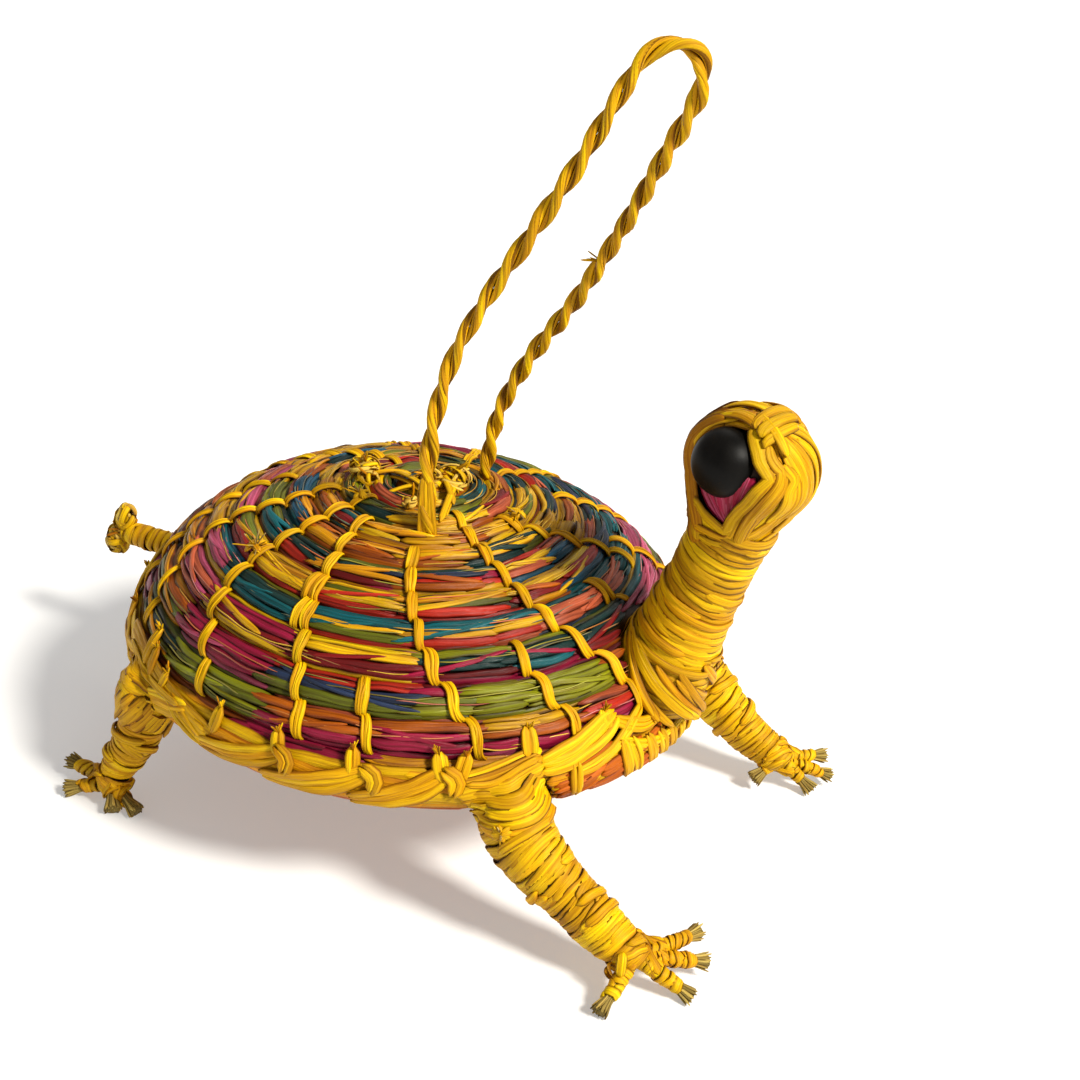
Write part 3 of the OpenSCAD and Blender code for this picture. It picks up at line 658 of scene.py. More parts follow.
# ---------- stitches ----------
def stitch(weave, v, top, low, wide=2.4, letter="Y", lift=0.5):
    """One strip of yellow fibre over round v, from its upper edge at angle top to its lower edge at angle low."""
    rng = weave.rng
    turn = np.linspace(-1.5, 1.5, 17)
    share = (turn + 1.5) / 3
    theta = top + (low - top) * (share + 0.12 * np.sin(2 * math.pi * share))
    middle, half, height, radius = bundle_section(v, theta)
    along = middle + (half + 0.55) * np.sin(turn)
    rise = (height + lift) * np.cos(turn) ** 0.7 + 0.25
    lean = np.arctan2(np.sin(turn) * height, np.cos(turn) * half + 0.4)
    path, normal = dome(along, theta, rise, lean * 0.9)
    sideways = unit(np.cross(np.gradient(path, axis=0), normal))
    waist = 1 - 0.3 * np.abs(share - 0.5) * 2
    folds = 3 if wide > 1.8 else 2
    for i in range(folds):
        off = (i - (folds - 1) / 2) * wide / folds + wobble(rng, share * 8, 9, 0.16)
        strip_clear(weave, path + sideways * (off * waist)[:, None] + normal * rng.uniform(-0.08, 0.12),
                    unit(normal + sideways * (off * 0.22 + rng.normal(0, 0.15))[:, None]),
                    wide / folds * waist * rng.uniform(1.3, 1.8), 0.5, tint(rng, letter, 0.2), taper=0.9, across=8,
                    ridge=0.35)


def knot(weave, v, theta, size=1.0):
    """A frayed yellow knot on round v."""
    rng = weave.rng
    middle, half, height, _ = bundle_section(v, np.array([theta]))
    centre, normal = dome(middle, theta, height + 0.7)
    centre, normal = centre.reshape(3), normal.reshape(3)
    a = unit(np.cross(normal, (0, 0, 1)))
    b = np.cross(normal, a)
    for i in range(4):
        angle = rng.uniform(0, math.pi)
        across = math.cos(angle) * a + math.sin(angle) * b
        t = np.linspace(-1, 1, 9)[:, None]
        path = centre + across * t * 1.9 * size + normal * (1 - t ** 2) * rng.uniform(0.5, 1.1)
        weave.strip(path, np.broadcast_to(normal, path.shape), 1.2 * size, 0.6, tint(rng, "Y"), taper=0.8, across=6)
    weave.tuft(centre, normal + b * 0.4 + a * rng.uniform(-1, 1), 9, 3.4 * size, 0.9, 0.35, [DYES["Y"], STRAW * 0.8], up=a)


for row, stitches in enumerate(ALL_STITCHES):
    weave = Weave(f"stitches_{row + 1:02d}")
    rng = weave.rng
    for v, top, low in stitches:
        stitch(weave, v, top, low, wide=rng.uniform(1.8, 2.3) if v > 3 else 1.7)
        if row in (1, 5) and v in (7, 8):
            stitch(weave, v, top - 1.8, low - 3.2, wide=1.5, lift=0.35)
    if row == 0:
        knot(weave, 7, -118.5, 1.2)
        knot(weave, 3, -119)
    if row == 4:
        knot(weave, 4, -3)
    place(weave, WRAP, "shell", "stitch_yellow", f"stitch_row_{row + 1:02d}")


# ---------- belly ----------
SIDE_COIL, BELLY_W, BELLY_STEP = (54.8, 27.5), 10.1, 10.2


def belly_centre(k):
    r = SIDE_COIL[0] - 3.35 - (k - 1.5) * BELLY_STEP
    return r, 24.3 + 1.3 * (r / 46.35) ** 2


def ring_path(r, z, theta, lean):
    """Points round the axis, with a normal leaning lean radians from outward towards upward."""
    c, d = np.cos(np.radians(theta)), np.sin(np.radians(theta))
    r, z, lean = np.broadcast_to(r, theta.shape), np.broadcast_to(z, theta.shape), np.broadcast_to(lean, theta.shape)
    path = np.stack([r * c, r * d, z], axis=1)
    return path, np.stack([np.cos(lean) * c, np.cos(lean) * d, np.sin(lean)], axis=1)


def belly_round(k):
    weave = Weave(f"belly_{k:02d}_strips")
    rng = weave.rng
    centre_r, centre_z = SIDE_COIL if k == 1 else belly_centre(k)
    rx, ry = (3.3, 2.4) if k == 1 else (BELLY_W / 2, 1.7)
    theta = np.arange(0, 360.1, math.degrees(2.0 / max(centre_r, 8)))
    path, normal = ring_path(centre_r, centre_z, theta, 0)
    # The dark brown core is painted shade that shows through the gaps between the strips
    for a, b in runs(clear(path, 2.5 if k == 1 else 3)):
        weave.tube(path[a:b], normal[a:b], rx * 0.86, ry * 0.8, SHADOW_CORE_BROWN, sides=12)
    turns = np.radians(np.linspace(-205, 35, 9) if k == 1 else np.linspace(-186, 6, 9))
    for turn in turns:
        letter = "OGOYGO"[rng.integers(6)]
        start = rng.uniform(0, 360)
        for part in range(3):
            theta = np.arange(start + 120 * part, start + 120 * part + 126, math.degrees(1.6 / max(centre_r, 8)))
            s = np.radians(theta) * centre_r
            at = turn + wobble(rng, s, 40, 0.05)
            path, normal = ring_path(centre_r + rx * 0.92 * np.cos(at), centre_z + ry * 0.85 * np.sin(at), theta,
                                     np.arctan2(np.sin(at) * rx, np.cos(at) * ry))
            wide = 2.3 if k == 1 else 1.0 + 1.5 * abs(math.sin(turn))
            strip_clear(weave, path, normal, wide, 0.8, tint(rng, letter) * 0.92, taper=1.5, across=6)
    if k > 1:
        # Stitches that hold the flat rounds to each other
        for angle in np.arange(0, 360, 360 / max(round(centre_r / 2.2), 5)):
            t = np.linspace(-1, 1, 11)
            theta = angle + k * 7 + t * math.degrees(1.6 / centre_r)
            r = centre_r + t * rx * 1.02
            z = centre_z - (ry + 0.35) * np.sqrt(1 - 0.8 * t ** 2)
            path = np.stack([r * np.cos(np.radians(theta)), r * np.sin(np.radians(theta)), z], axis=1)
            normal = np.broadcast_to([0.0, 0.0, -1.0], path.shape)
            strip_clear(weave, path, normal, 2.2, 0.6, tint(rng, "Y"), taper=1, across=6)
    place(weave, STRIP, "shell", "strip_orange" if k % 2 else "strip_gold", f"plastron_round_{k:02d}")


for k in range(1, 7):
    belly_round(k)


# ---------- rim binding ----------
RIM_HEIGHTS = [22, 24, 25, 26, 27.5, 29, 30, 32, 34, 36, 38, 40, 42, 44]
RIM_RADII = [51, 55.8, 57.2, 58.2, 59.0, 59.9, 60.2, 60.2, 59.8, 59.3, 58.6, 57.6, 56.4, 55.0]


def rim_point(theta, z, out):
    r = np.interp(z, RIM_HEIGHTS, RIM_RADII) + out
    slope = (np.interp(z + 0.8, RIM_HEIGHTS, RIM_RADII) - np.interp(z - 0.8, RIM_HEIGHTS, RIM_RADII)) / 1.6
    path, normal = ring_path(r, z, theta, 0)
    normal[:, 2] = -slope
    return path, unit(normal)


def rim_strap(weave, knots, wide, folds=3, letter="Y", thick=0.8, out=0.7, ends=0.65):
    """A broad strap of several folds through (angle, height) points on the rim, narrower at its ends."""
    rng = weave.rng
    track = catmull_rom([(a, z, 0) for a, z in knots], 10)
    path, normal = rim_point(track[:, 0], track[:, 1], out)
    s = run_length(path)
    count = max(int(s[-1] / 1.1), 6)
    grid = np.linspace(0, s[-1], count)
    path, normal = lerp_rows(grid, s, path), unit(lerp_rows(grid, s, normal))
    side = unit(np.cross(np.gradient(path, axis=0), normal))
    full = 1 - (1 - ends) * np.abs(grid / s[-1] * 2 - 1) ** 3
    for i in range(folds):
        off = (i - (folds - 1) / 2) * wide / folds * full + wobble(rng, grid, 18, 0.2)
        strip_clear(weave, path + side * off[:, None] + normal * rng.uniform(-0.15, 0.2), normal,
                    wide / folds * full * rng.uniform(1.25, 1.6), thick, tint(rng, letter, 0.16), taper=1.0, across=7)


def tie(weave, theta, low, high, wide=2.2, slant=0.0, fray=True):
    """A short strap over the lowest round, with its cut ends showing above it."""
    rim_strap(weave, [(theta, low), (theta + slant * 0.5, (low + high) / 2), (theta + slant, high)], wide, 2, out=0.8)
    if fray:
        root, normal = rim_point(np.array([theta + slant]), np.array([high - 0.4]), 0.9)
        weave.tuft(root[0], (0, 0, 1) + normal[0] * 0.4, 6, 2.2, 0.5, 0.5, [DYES["Y"], DYES["G"]], curl=0.2)


weave = Weave("rim_binding")
rim = np.arange(0, 360.1, 1.6)
for height, out, letter in ((34.2, 0.0, "Y"), (32.2, 0.2, "G"), (30.2, 0.2, "Y"), (28.4, 0.1, "G")):
    for start in range(0, 360, 60):
        theta = np.arange(start - 2, start + 63, 1.2)
        sway = wobble(weave.rng, theta, 30, 0.5)
        path, normal = rim_point(theta, height + sway, out)
        strip_clear(weave, path, normal, 2.9, 0.7, tint(weave.rng, letter, 0.2) * 0.9, taper=1.5)
# Front of the rim, left to right as one looks at the turtle's right side
for knots, wide in (
        ([(-150, 29), (-140, 30), (-131, 32), (-126, 33.5)], 4.6),
        ([(-128, 28.6), (-119, 29.4), (-112, 31.6), (-106, 33.6)], 4.6),
        ([(-112, 34), (-106, 31), (-101, 29)], 3.4),
        ([(-104, 28.4), (-97, 29.4), (-90, 31.4), (-84, 34.2)], 4.4),
        ([(-88, 28.2), (-80, 29.4), (-73, 31.8), (-68.2, 34.4)], 4.6),
        ([(-71, 28.2), (-64, 30), (-58.5, 32.6), (-54.2, 35.4)], 4.8),
        ([(-37.4, 35.8), (-31, 36.8), (-25.5, 38.8), (-19, 41.4)], 5.2),
            ([(-158, 44.4), (-153, 39), (-148, 34.4), (-141, 31)], 3.4),
        ([(-20, 40.6), (-14, 38), (-8, 37.6), (-2, 39.5)], 2.8),
        ([(-30, 33), (-24, 34.4), (-18, 37.4), (-12, 41)], 2.4),
        ([(-20, 36.6), (-13, 33.6), (-6, 32.4), (2, 33)], 2.6)):
    rim_strap(weave, knots, wide, 3)
# Rounded loops where each long strap is pulled tight
for theta, height in ((-83.6, 33.4), (-67.8, 33.4), (-53.8, 34.2)):
    rim_strap(weave, [(theta - 1.5, height + 2.4), (theta + 1.2, height + 0.4), (theta + 0.6, height - 2.8)], 2.8, 2, out=1.5)
for theta, low, high, slant in (
        (-123.5, 32, 42, 0.6), (-120, 33, 39.5, -0.5), (-115.7, 32.5, 37.5, 1.6), (-99, 32.5, 38, 1.0),
        (-84.6, 33.5, 38.2, -0.6), (-70.7, 33.5, 38.6, -0.4), (-54.8, 34, 39.2, -1.2), (-52.2, 34, 39.2, 1.2),
        (-39, 37.4, 43, 0), (-22, 39, 43, 0.4)):
    tie(weave, theta, low, high, 2.3 if theta < -60 else 2.8, slant)
# Lattice between the right front leg and the neck
for theta, slant, high in ((-30, 0.6, 35.5), (-19, 2.6, 37), (-16.6, 3.2, 36.5), (-12, 3, 35.5), (-8, 3, 35),
                           (-4, 2.5, 35), (0, 2, 34.5), (5, 1, 35)):
    rim_strap(weave, [(theta, high), (theta + slant * 0.6, 31.5), (theta + slant, 28)], 2.5, 2, out=1.1)
for theta, low in ((-35, 27.6), (-34, 30.2), (-32, 33.2), (-26, 28), (-24, 31.5), (-16, 29), (-14, 33), (-6, 30), (2, 30)):
    rim_strap(weave, [(theta, low), (theta + 6, low + 1.2), (theta + 11, low + 3.4)], 2.8, 2, "O", out=0.5)
# The sides and back that the same overcast binding goes on round
for theta in range(8, 232, 15):
    rim_strap(weave, [(theta + 17, 28.4), (theta + 10, 29.6), (theta + 4, 32), (theta, 34.6)], 4.4, 3)
    tie(weave, theta + 0.4, 33.5, 38.5, 2.2, 0.4)
place(weave, WRAP, "shell", "wrap_yellow", "rim_band")


# ---------- crown ----------
weave = Weave("crown_knot_fibres")
turn = np.linspace(0, 2.6 * 2 * math.pi, 90)
reach = 0.3 + 2.9 * turn / turn[-1]
path = np.stack([reach * np.cos(turn), reach * np.sin(turn), 67.6 - 0.1 * reach ** 1.5], axis=1)
# Dark brown core under the knot: painted shade between its fibres
weave.tube(np.array([[0, 0, 63.4], [0, 0, 64.4], [0, 0, 65.8], [0, 0, 67.2]]), (1.0, 0, 0), 2.4, 2.4, SHADOW_CORE_BROWN)
weave.strip(path, np.broadcast_to([0.0, 0.0, 1.0], path.shape), 1.5, 0.9, DYES["G"])
for root, radius, count in (((-14.0, -5.1, 67.6), 3.0, 20), ((-11.0, -8.0, 67.4), 2.4, 12), ((4.0, -0.6, 69.2), 3.4, 22),
                            ((0.5, -3.6, 69.0), 3.0, 18), ((3.6, 3.4, 68.8), 2.4, 12), ((1.0, -12.0, 67.0), 1.8, 8)):
    normal = unit(np.array(root) - (0, 0, 10))
    weave.curl(root, radius, count, 1.1, [DYES["Y"], DYES["Y"] * 0.6 + STRAW * 0.4], (1.2, 1.1, 0.8))
    weave.tuft(root, normal * 0.2 + (0.25, -0.35, 0), count // 2, 2.8, 1.0, 0.9, [DYES["Y"], DYES["G"]], curl=1.4, tip=0.3)
for start, end, high in (((-10, -3, 66.6), (6, -10, 67.4), 1.6), ((-2, 3, 67.8), (9, -8, 67.4), 1.8),
                         ((-14, -9, 65.2), (-5, -2, 67.6), 1.5), ((2, 8, 67), (-3, -7, 67.6), 1.4),
                         ((-6, -12, 65.6), (4, -3, 68), 1.8), ((10, -14, 66), (4, 4, 68), 1.3)):
    t = np.linspace(0, 1, 14)[:, None]
    for fold in range(2):
        path = (np.array(start) * (1 - t) + np.array(end) * t + np.array([0, 0, high]) * (4 * t * (1 - t))
                + weave.rng.normal(0, 0.4, 3))
        weave.strip(path, np.broadcast_to([0.0, 0.0, 1.0], path.shape), 1.5, 0.6, tint(weave.rng, "Y"), taper=1.4)
place(weave, WRAP, "shell", "stitch_yellow", "crown_knot")


# ---------- limbs ----------
class Limb:
    """A route with a radius and a square pair of directions at every point."""

    def __init__(self, route, radii, side):
        self.route, self.s = np.asarray(route, float), run_length(route)
        self.radii = np.asarray(radii, float)
        tangent = unit(np.gradient(self.route, axis=0))
        self.a = unit(np.cross(tangent, side))
        self.b = np.cross(self.a, tangent)
        self.tangent = tangent
        self.length = self.s[-1]

    def at(self, s, phi, lift=0.0):
        s = np.clip(s, 0, self.length)
        a, b = lerp_rows(s, self.s, self.a), lerp_rows(s, self.s, self.b)
        normal = unit(np.cos(phi)[:, None] * a + np.sin(phi)[:, None] * b)
        radius = np.interp(s, self.s, self.radii) + lift
        return lerp_rows(s, self.s, self.route) + normal * radius[:, None], normal


def wrap(weave, limb, s0, s1, wide0, wide1, cover=0.62, slant=0.5, lift=0.05, thick=0.42, letter="Y", hand=1,
         phase=0.0, step=1.1, turns=(0.7, 2.2)):
    """Winds flat strips round a limb from s0 to s1, each lapped over the last like a shingle."""
    rng = weave.rng
    s, phi, along, angle, wide = s0, phase, [], [], []
    while s < s1:
        w = wide0 + (wide1 - wide0) * (s - s0) / (s1 - s0)
        turn = step / max(float(np.interp(s, limb.s, limb.radii)), 0.8)
        along.append(s), angle.append(phi), wide.append(w)
        phi += turn
        s += w * cover * turn / (2 * math.pi)
    along, angle, wide = np.array(along), np.array(angle), np.array(wide)
    along = along + slant * np.sin(angle + phase) + wobble(rng, angle * 3, 16, 0.12 * wide0)
    at = 0
    while at < len(along) - 4:
        radius = max(float(np.interp(along[at], limb.s, limb.radii)), 0.8)
        count = int(rng.uniform(*turns) * 2 * math.pi * radius / step)
        end = min(at + count, len(along))
        if end - at < 5:
            break
        height = lift + rng.uniform(-0.1, 0.15)
        path, normal = limb.at(along[at:end], hand * angle[at:end], height)
        tilt = 0.2 + wobble(rng, angle[at:end] * radius, 14, 0.16)
        normal = unit(normal + tilt[:, None] * lerp_rows(along[at:end], limb.s, limb.tangent))
        across = wide[at:end] * rng.uniform(0.85, 1.2) * (1 + wobble(rng, angle[at:end] * radius, 9, 0.12))
        weave.strip(path, normal, across, thick, tint(rng, letter, 0.2), taper=2.4, bulge=0.5, ridge=0.3, edge=0.72)
        at = max(end - int(0.12 * 2 * math.pi * radius / step), at + 4)


def cross_wrap(weave, limb, s0, s1, phi0, phi1, wide, lift=0.55, letter="Y"):
    """One loose strip that crosses the others, from (s0, phi0) to (s1, phi1)."""
    count = max(int(abs(phi1 - phi0) * float(np.interp(s0, limb.s, limb.radii)) / 0.9), 8)
    t = np.linspace(0, 1, count)
    rise = lift * np.sin(math.pi * t) ** 0.5
    path, normal = limb.at(s0 + (s1 - s0) * t + wobble(weave.rng, t * 10, 9, 0.15), phi0 + (phi1 - phi0) * t, rise)
    weave.strip(path, normal, wide, 0.55, tint(weave.rng, letter), taper=2.5)


def limb_core(weave, limb, shrink=0.35, colour=SHADOW_CORE_BROWN):
    # The core is dark brown by default: painted shade that shows in the gaps between the wraps
    weave.tube(limb.route, limb.a, np.maximum(limb.radii - shrink, 0.3), np.maximum(limb.radii - shrink, 0.3), colour, sides=16)


# ---------- legs ----------
PALM_LEN, BRUSH_LEN = 4.05, 3.4


# Straps over the top of a right leg: points as (angle, height), width, distance out
SLEEVES = {
    "front": [
        ([(-53, 34.2), (-49, 35.0), (-43, 37.0), (-36.9, 38.8)], 3.2, 0.9),
        ([(-53, 32.9), (-48, 34.0), (-42, 35.9), (-36.9, 37.6)], 3.4, 1.1),
        ([(-52.5, 31.6), (-47, 32.9), (-41, 34.7), (-36.8, 36.2)], 3.4, 1.2),
        ([(-51.5, 30.2), (-46, 31.6), (-40, 33.3), (-36.7, 34.8)], 3.4, 1.1),
        ([(-50, 28.6), (-45.5, 30.2), (-40, 31.9), (-36.4, 33.3)], 3.2, 1.0),
        ([(-49, 27.0), (-45, 28.8), (-40, 30.4), (-36, 31.6)], 3.0, 0.8),
        ([(-48, 25.4), (-44.5, 27.2), (-40, 28.6), (-36, 29.6)], 2.8, 0.6),
        ([(-51, 33.8), (-46, 34.0), (-41, 36.6), (-37.6, 37.8)], 1.6, 1.5)],
    "rear": [
        ([(-147, 36), (-141, 34), (-135.5, 31), (-131.5, 27), (-129.5, 23)], 3.4, 0.5),
        ([(-144, 34.5), (-138, 32.5), (-133, 29.5), (-129.5, 25)], 3.4, 0.6),
        ([(-141, 36.4), (-135, 34.4), (-130.5, 31), (-127, 27)], 3.4, 0.7),
        ([(-136, 36.4), (-128, 36.8), (-121, 36.0), (-111, 34.4), (-99, 32.2)], 3.2, 0.8),
        ([(-135, 35.0), (-128, 35.0), (-121, 34.2), (-111, 32.6), (-100, 31.0)], 3.4, 0.9),
        ([(-133, 33.6), (-127, 33.2), (-121, 32.2), (-112, 30.8)], 3.4, 0.8),
        ([(-131, 32.0), (-126, 31.4), (-120, 30.2), (-114, 29.0)], 3.2, 0.7),
        ([(-129, 30.4), (-125, 29.6), (-120, 28.2), (-115.5, 27.4)], 3.2, 0.6),
        ([(-127.6, 28.6), (-124, 27.6), (-120, 26.4), (-116, 25.8)], 3.0, 0.5),
        ([(-127, 26.6), (-123.5, 25.6), (-120, 24.6), (-117, 24.2)], 2.8, 0.4),
        ([(-132, 34.6), (-127, 34.6), (-119, 33.6), (-108, 33.8)], 1.8, 1.4)]}


def build_leg(name, leg):
    body, front = f"leg_{name}", name.startswith("front")
    side = (0, 0, 1) if front else (1, 0, 0)
    # The rear legs leave the rim a little nearer the front than the pockets they turn in
    lean = np.array([0, 0, 0, 0, 0, 0] if front else [1.9, 1.7, 1.2, 0.6, 0.1, 0])
    route, radii = catmull_rom(np.array(leg["route"]) + lean[:, None] * (1, 0, 0), 6), leg["radii"]
    fine_radii = np.interp(np.linspace(0, len(radii) - 1, len(route)), np.arange(len(radii)), radii)
    out = unit(np.array(leg["route"][1]) - leg["route"][0])
    ball = np.radians([-70, -50, -30, -12])
    route = np.concatenate([route[0] + radii[0] * np.sin(ball)[:, None] * out, route])
    fine_radii = np.concatenate([radii[0] * np.cos(ball), fine_radii])
    # The strips stand proud of the winding, so they start a little inside it
    limb = Limb(route, fine_radii * np.linspace(0.95 if front else 0.82, 0.97, len(fine_radii)), side)
    weave = Weave(f"leg_{name}_wraps")
    rng = weave.rng
    limb_core(weave, limb)
    wide = 3.2 if front else 2.8
    hand = 1 if front else -1
    wrap(weave, limb, 1.0, limb.length * 0.5, wide, wide * 0.9, slant=1.2, hand=hand, phase=2.4, lift=-0.3)
    if not front:
        # Long slanting strips cover the shoulder down to the winding
        share = np.linspace(0, 1, 14)
        for phi in np.linspace(0, 2 * math.pi, 23, endpoint=False) + rng.uniform(-0.12, 0.12, 23):
            path, normal = limb.at(3.2 + share * limb.length * rng.uniform(0.22, 0.42), phi + 0.9 * hand * share, 0.65 - 0.2 * share)
            weave.strip(path, normal, rng.uniform(2.8, 3.6), 0.45, tint(rng, "Y", 0.2), taper=1.5, edge=0.7)
    wrap(weave, limb, limb.length * 0.42, limb.length * 0.84, wide * 0.9, wide * 0.7, slant=0.8, hand=hand, phase=2.0,
         lift=-0.25)
    wrap(weave, limb, limb.length * 0.8, limb.length, wide * 0.7, 1.7, slant=0.6, hand=hand, lift=-0.1)
    for _ in range(5):
        s0 = rng.uniform(0.22, 0.85) * limb.length
        phi0 = rng.uniform(0, 6.28)
        cross_wrap(weave, limb, s0, s0 + rng.uniform(1, 3), phi0, phi0 + rng.choice([-1, 1]) * rng.uniform(1.5, 3), 1.9)
    if name == "front_right":
        # A small knot with its cut ends
        centre, normal = np.array([47.2, -48.2, 27.2]), unit((0.3, -0.92, 0.25))
        for turn in (0.3, 1.0, 2.2, 2.8):
            across = math.cos(turn) * unit(np.cross(normal, (0, 0, 1))) + math.sin(turn) * np.array([0.1, 0.25, 0.96])
            t = np.linspace(-1, 1, 8)[:, None]
            weave.strip(centre + across * t * 1.9 + normal * 0.7 * (1 - t ** 2), np.broadcast_to(normal, (8, 3)), 1.3, 0.5,
                        tint(rng, "Y"), taper=0.4)
        weave.tuft(centre + normal * 0.5, normal, 7, 1.6, 1.2, 0.6, [DYES["Y"], STRAW * 0.9], curl=0.6, tip=0.2)
    place(weave, WRAP, body, "wrap_yellow", f"leg_wrap_{name}")

    end = np.array(leg["route"][-1])
    down = unit(end - leg["route"][-2])
    hub = end + (PALM_LEN - 1.2) * down
    wrist_r = radii[-1]
    toes, fibres = Weave(f"toes_{name}_wraps"), Weave(f"toes_{name}_fibres")
    palm = Limb(np.array([end + down * t for t in (0.1, 1.2, 2.4, PALM_LEN)]),
                [wrist_r, wrist_r - 0.2, wrist_r - 0.8, wrist_r * 0.66], side)
    limb_core(toes, palm, 0.3)
    wrap(toes, palm, 0.1, PALM_LEN, 2.0, 1.6, slant=0.5, step=0.9)
    for i in range(5):
        phi = i * 1.3 + toes.rng.uniform(0, 1)
        cross_wrap(toes, palm, 0.2, PALM_LEN, phi, phi + 2.2, 1.8, 0.35)
    for tip in leg["tips"]:
        tip = np.array(tip, float)
        reach = float(np.linalg.norm(tip - hub))
        toe_dir = (tip - hub) / reach
        toe_side = unit(np.cross(toe_dir, (0, 0, 1)))
        bow = toes.rng.uniform(-0.03, 0.03) * reach
        line = [hub + toe_dir * reach * t + toe_side * bow * 4 * t * (1 - t) for t in np.linspace(0.0, 1, 10)]
        wrapped = (reach - BRUSH_LEN) / reach
        toe = Limb(catmull_rom(line, 2), np.linspace(1.25, 1.0, 19), (0.1, 0.2, 1))
        wrap(toes, toe, 0.8, reach * wrapped, 2.5, 1.9, cover=0.66 if front else 0.8, slant=0.35, lift=0.2, thick=0.4,
             step=0.55, phase=toes.rng.uniform(0, 6), turns=(1.5, 3))
        # Strips that run from the wrist over the palm on to the toe
        for off in (-0.8, 0.4, 1.6):
            t = np.linspace(0, 1, 12)
            round_palm, _ = palm.at(np.full(12, 0.5), np.full(12, math.atan2(toe_dir @ palm.b[0], toe_dir @ palm.a[0]) + off * 0.6), 0.2)
            on_toe, normal = toe.at(np.full(12, reach * 0.42), np.full(12, off), 0.35)
            toes.strip(round_palm * (1 - t)[:, None] + on_toe * t[:, None] + (0.9 * np.sin(math.pi * t))[:, None] * normal,
                       normal, 1.9, 0.45, tint(toes.rng, "Y", 0.2), taper=1.2)
        # Raw fibres: straight under the wraps, fanned out to a dense brush with a flat cut end
        bunch = np.linspace(0.1, 0.97, 12)
        flare = np.clip((bunch - wrapped) / (1 - wrapped), 0, 1)
        fibres.tube(lerp_rows(bunch * toe.length, toe.s, toe.route), toe.a[9], 0.75 + 0.75 * flare, 0.75 + 0.6 * flare,
                    KHAKI * 0.55, sides=10)
        for i in range(34):
            phi, ring = i * 2.4, 0.95 * math.sqrt((i + 0.5) / 34)
            a, b = toe.a[9], toe.b[9]
            spoke = math.cos(phi) * a + math.sin(phi) * b
            t = np.linspace(0.04, fibres.rng.uniform(0.95, 1.0), 14)
            fan = np.clip((t - wrapped) / (1 - wrapped), 0, 1) ** 1.2
            path = lerp_rows(t * toe.length, toe.s, toe.route) + spoke * (ring * (1 + 1.1 * fan))[:, None]
            path[:, 2] = np.maximum(path[:, 2], 0.25)
            shade = KHAKI * fibres.rng.uniform(0.75, 1.25) * (0.75 + 0.2 * (i % 3))
            fibres.strip(path, spoke, 0.45 + 0.5 * fan, 0.4, shade, taper=0.15, across=5, edge=0.45)
    place(toes, WRAP, body, "wrap_yellow", f"toe_wraps_{name}")
    place(fibres, BRUSH, body, "fibre_khaki", f"toe_fibres_{name}")

    # Straps that bind the leg's top to the rim, each lying on whichever stands further out
    strap = Weave(f"strap_{name}")
    mirror = -1 if leg["route"][0][1] > 0 else 1
    top = limb.s <= limb.length * 0.45

    def outer(theta, z):
        c, d = np.cos(np.radians(theta)), np.sin(np.radians(theta))
        r = np.interp(z, RIM_HEIGHTS, RIM_RADII)
        for at, radius in zip(limb.route[top], limb.radii[top]):
            room = radius ** 2 - (at[1] * c - at[0] * d) ** 2 - (z - at[2]) ** 2
            r = np.maximum(r, at[0] * c + at[1] * d + np.sqrt(np.maximum(room, 0)) - 99 * (room < 0))
        return r

    for knots, wide, out in SLEEVES["front" if front else "rear"]:
        track = catmull_rom([(mirror * a, z, 0) for a, z in knots], 12)
        theta, z = track[:, 0], track[:, 1]
        r = outer(theta, z)
        for _ in range(6):
            r[1:-1] = np.maximum(r[1:-1], (r[:-2] + r[2:]) / 2) * 0.5 + (r[:-2] + r[2:]) / 4
        path, normal = ring_path(r + out, z, theta, 0)
        normal[:, 2] = -np.clip((outer(theta, z + 0.7) - outer(theta, z - 0.7)) / 1.4, -1.5, 1.5)
        path, normal = even(path, 1.1), lerp_rows(np.linspace(0, 1, len(even(path, 1.1))), np.linspace(0, 1, len(path)), normal)
        strap.strip(path, unit(normal), wide, 0.45, tint(strap.rng, "Y", 0.16), taper=1.6, across=9, bulge=0.45, ridge=0.45, edge=0.7)
    obj = strap.mesh_object(WRAP)
    hip = np.array(leg["route"][0], float)
    middle = math.degrees(math.atan2(hip[1], hip[0]))
    high, _ = rim_point(np.array([middle]), np.array([37.0]), 0)
    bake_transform(obj)


for name, leg in LEGS.items():
    build_leg(name, leg)


# ---------- tail ----------
tail_ball = np.radians([-70, -45, -20])
tail_route = [TAIL_AT + 3.6 * math.sin(q) * TAIL_DIR for q in tail_ball] + [TAIL_AT + t * TAIL_DIR for t in np.linspace(0, 20.9, 14)]
tail_radii = [3.6 * math.cos(q) for q in tail_ball] + list(np.interp(np.linspace(0, 20.9, 14), [0, 3, 20.9], [3.5, 2.8, 2.3]))
tail = Limb(np.array(tail_route), tail_radii, (0, 0, 1))
weave = Weave("tail_wraps")
limb_core(weave, tail)
wrap(weave, tail, 0.6, tail.length, 3.4, 2.6, cover=0.7, slant=0.8, hand=-1, step=0.8, thick=0.5)
for phi in (0.4, 2.0, 4.1):
    cross_wrap(weave, tail, 4 + phi * 2, 9 + phi * 2, phi, phi + 3, 1.4, 0.35)
place(weave, WRAP, "tail", "wrap_yellow", "tail_wrap")
weave = Weave("tail_tuft_fibres")
tuft_root = TAIL_AT + 21.0 * TAIL_DIR
lobes = [((-0.25, 0.1, 1.0), (0.6, 0, 1.2), 16), ((-0.55, -0.1, -0.9), (-0.4, 0, -1.0), 18), ((-1.0, -0.2, 0.1), (0, 0, 0), 8)]
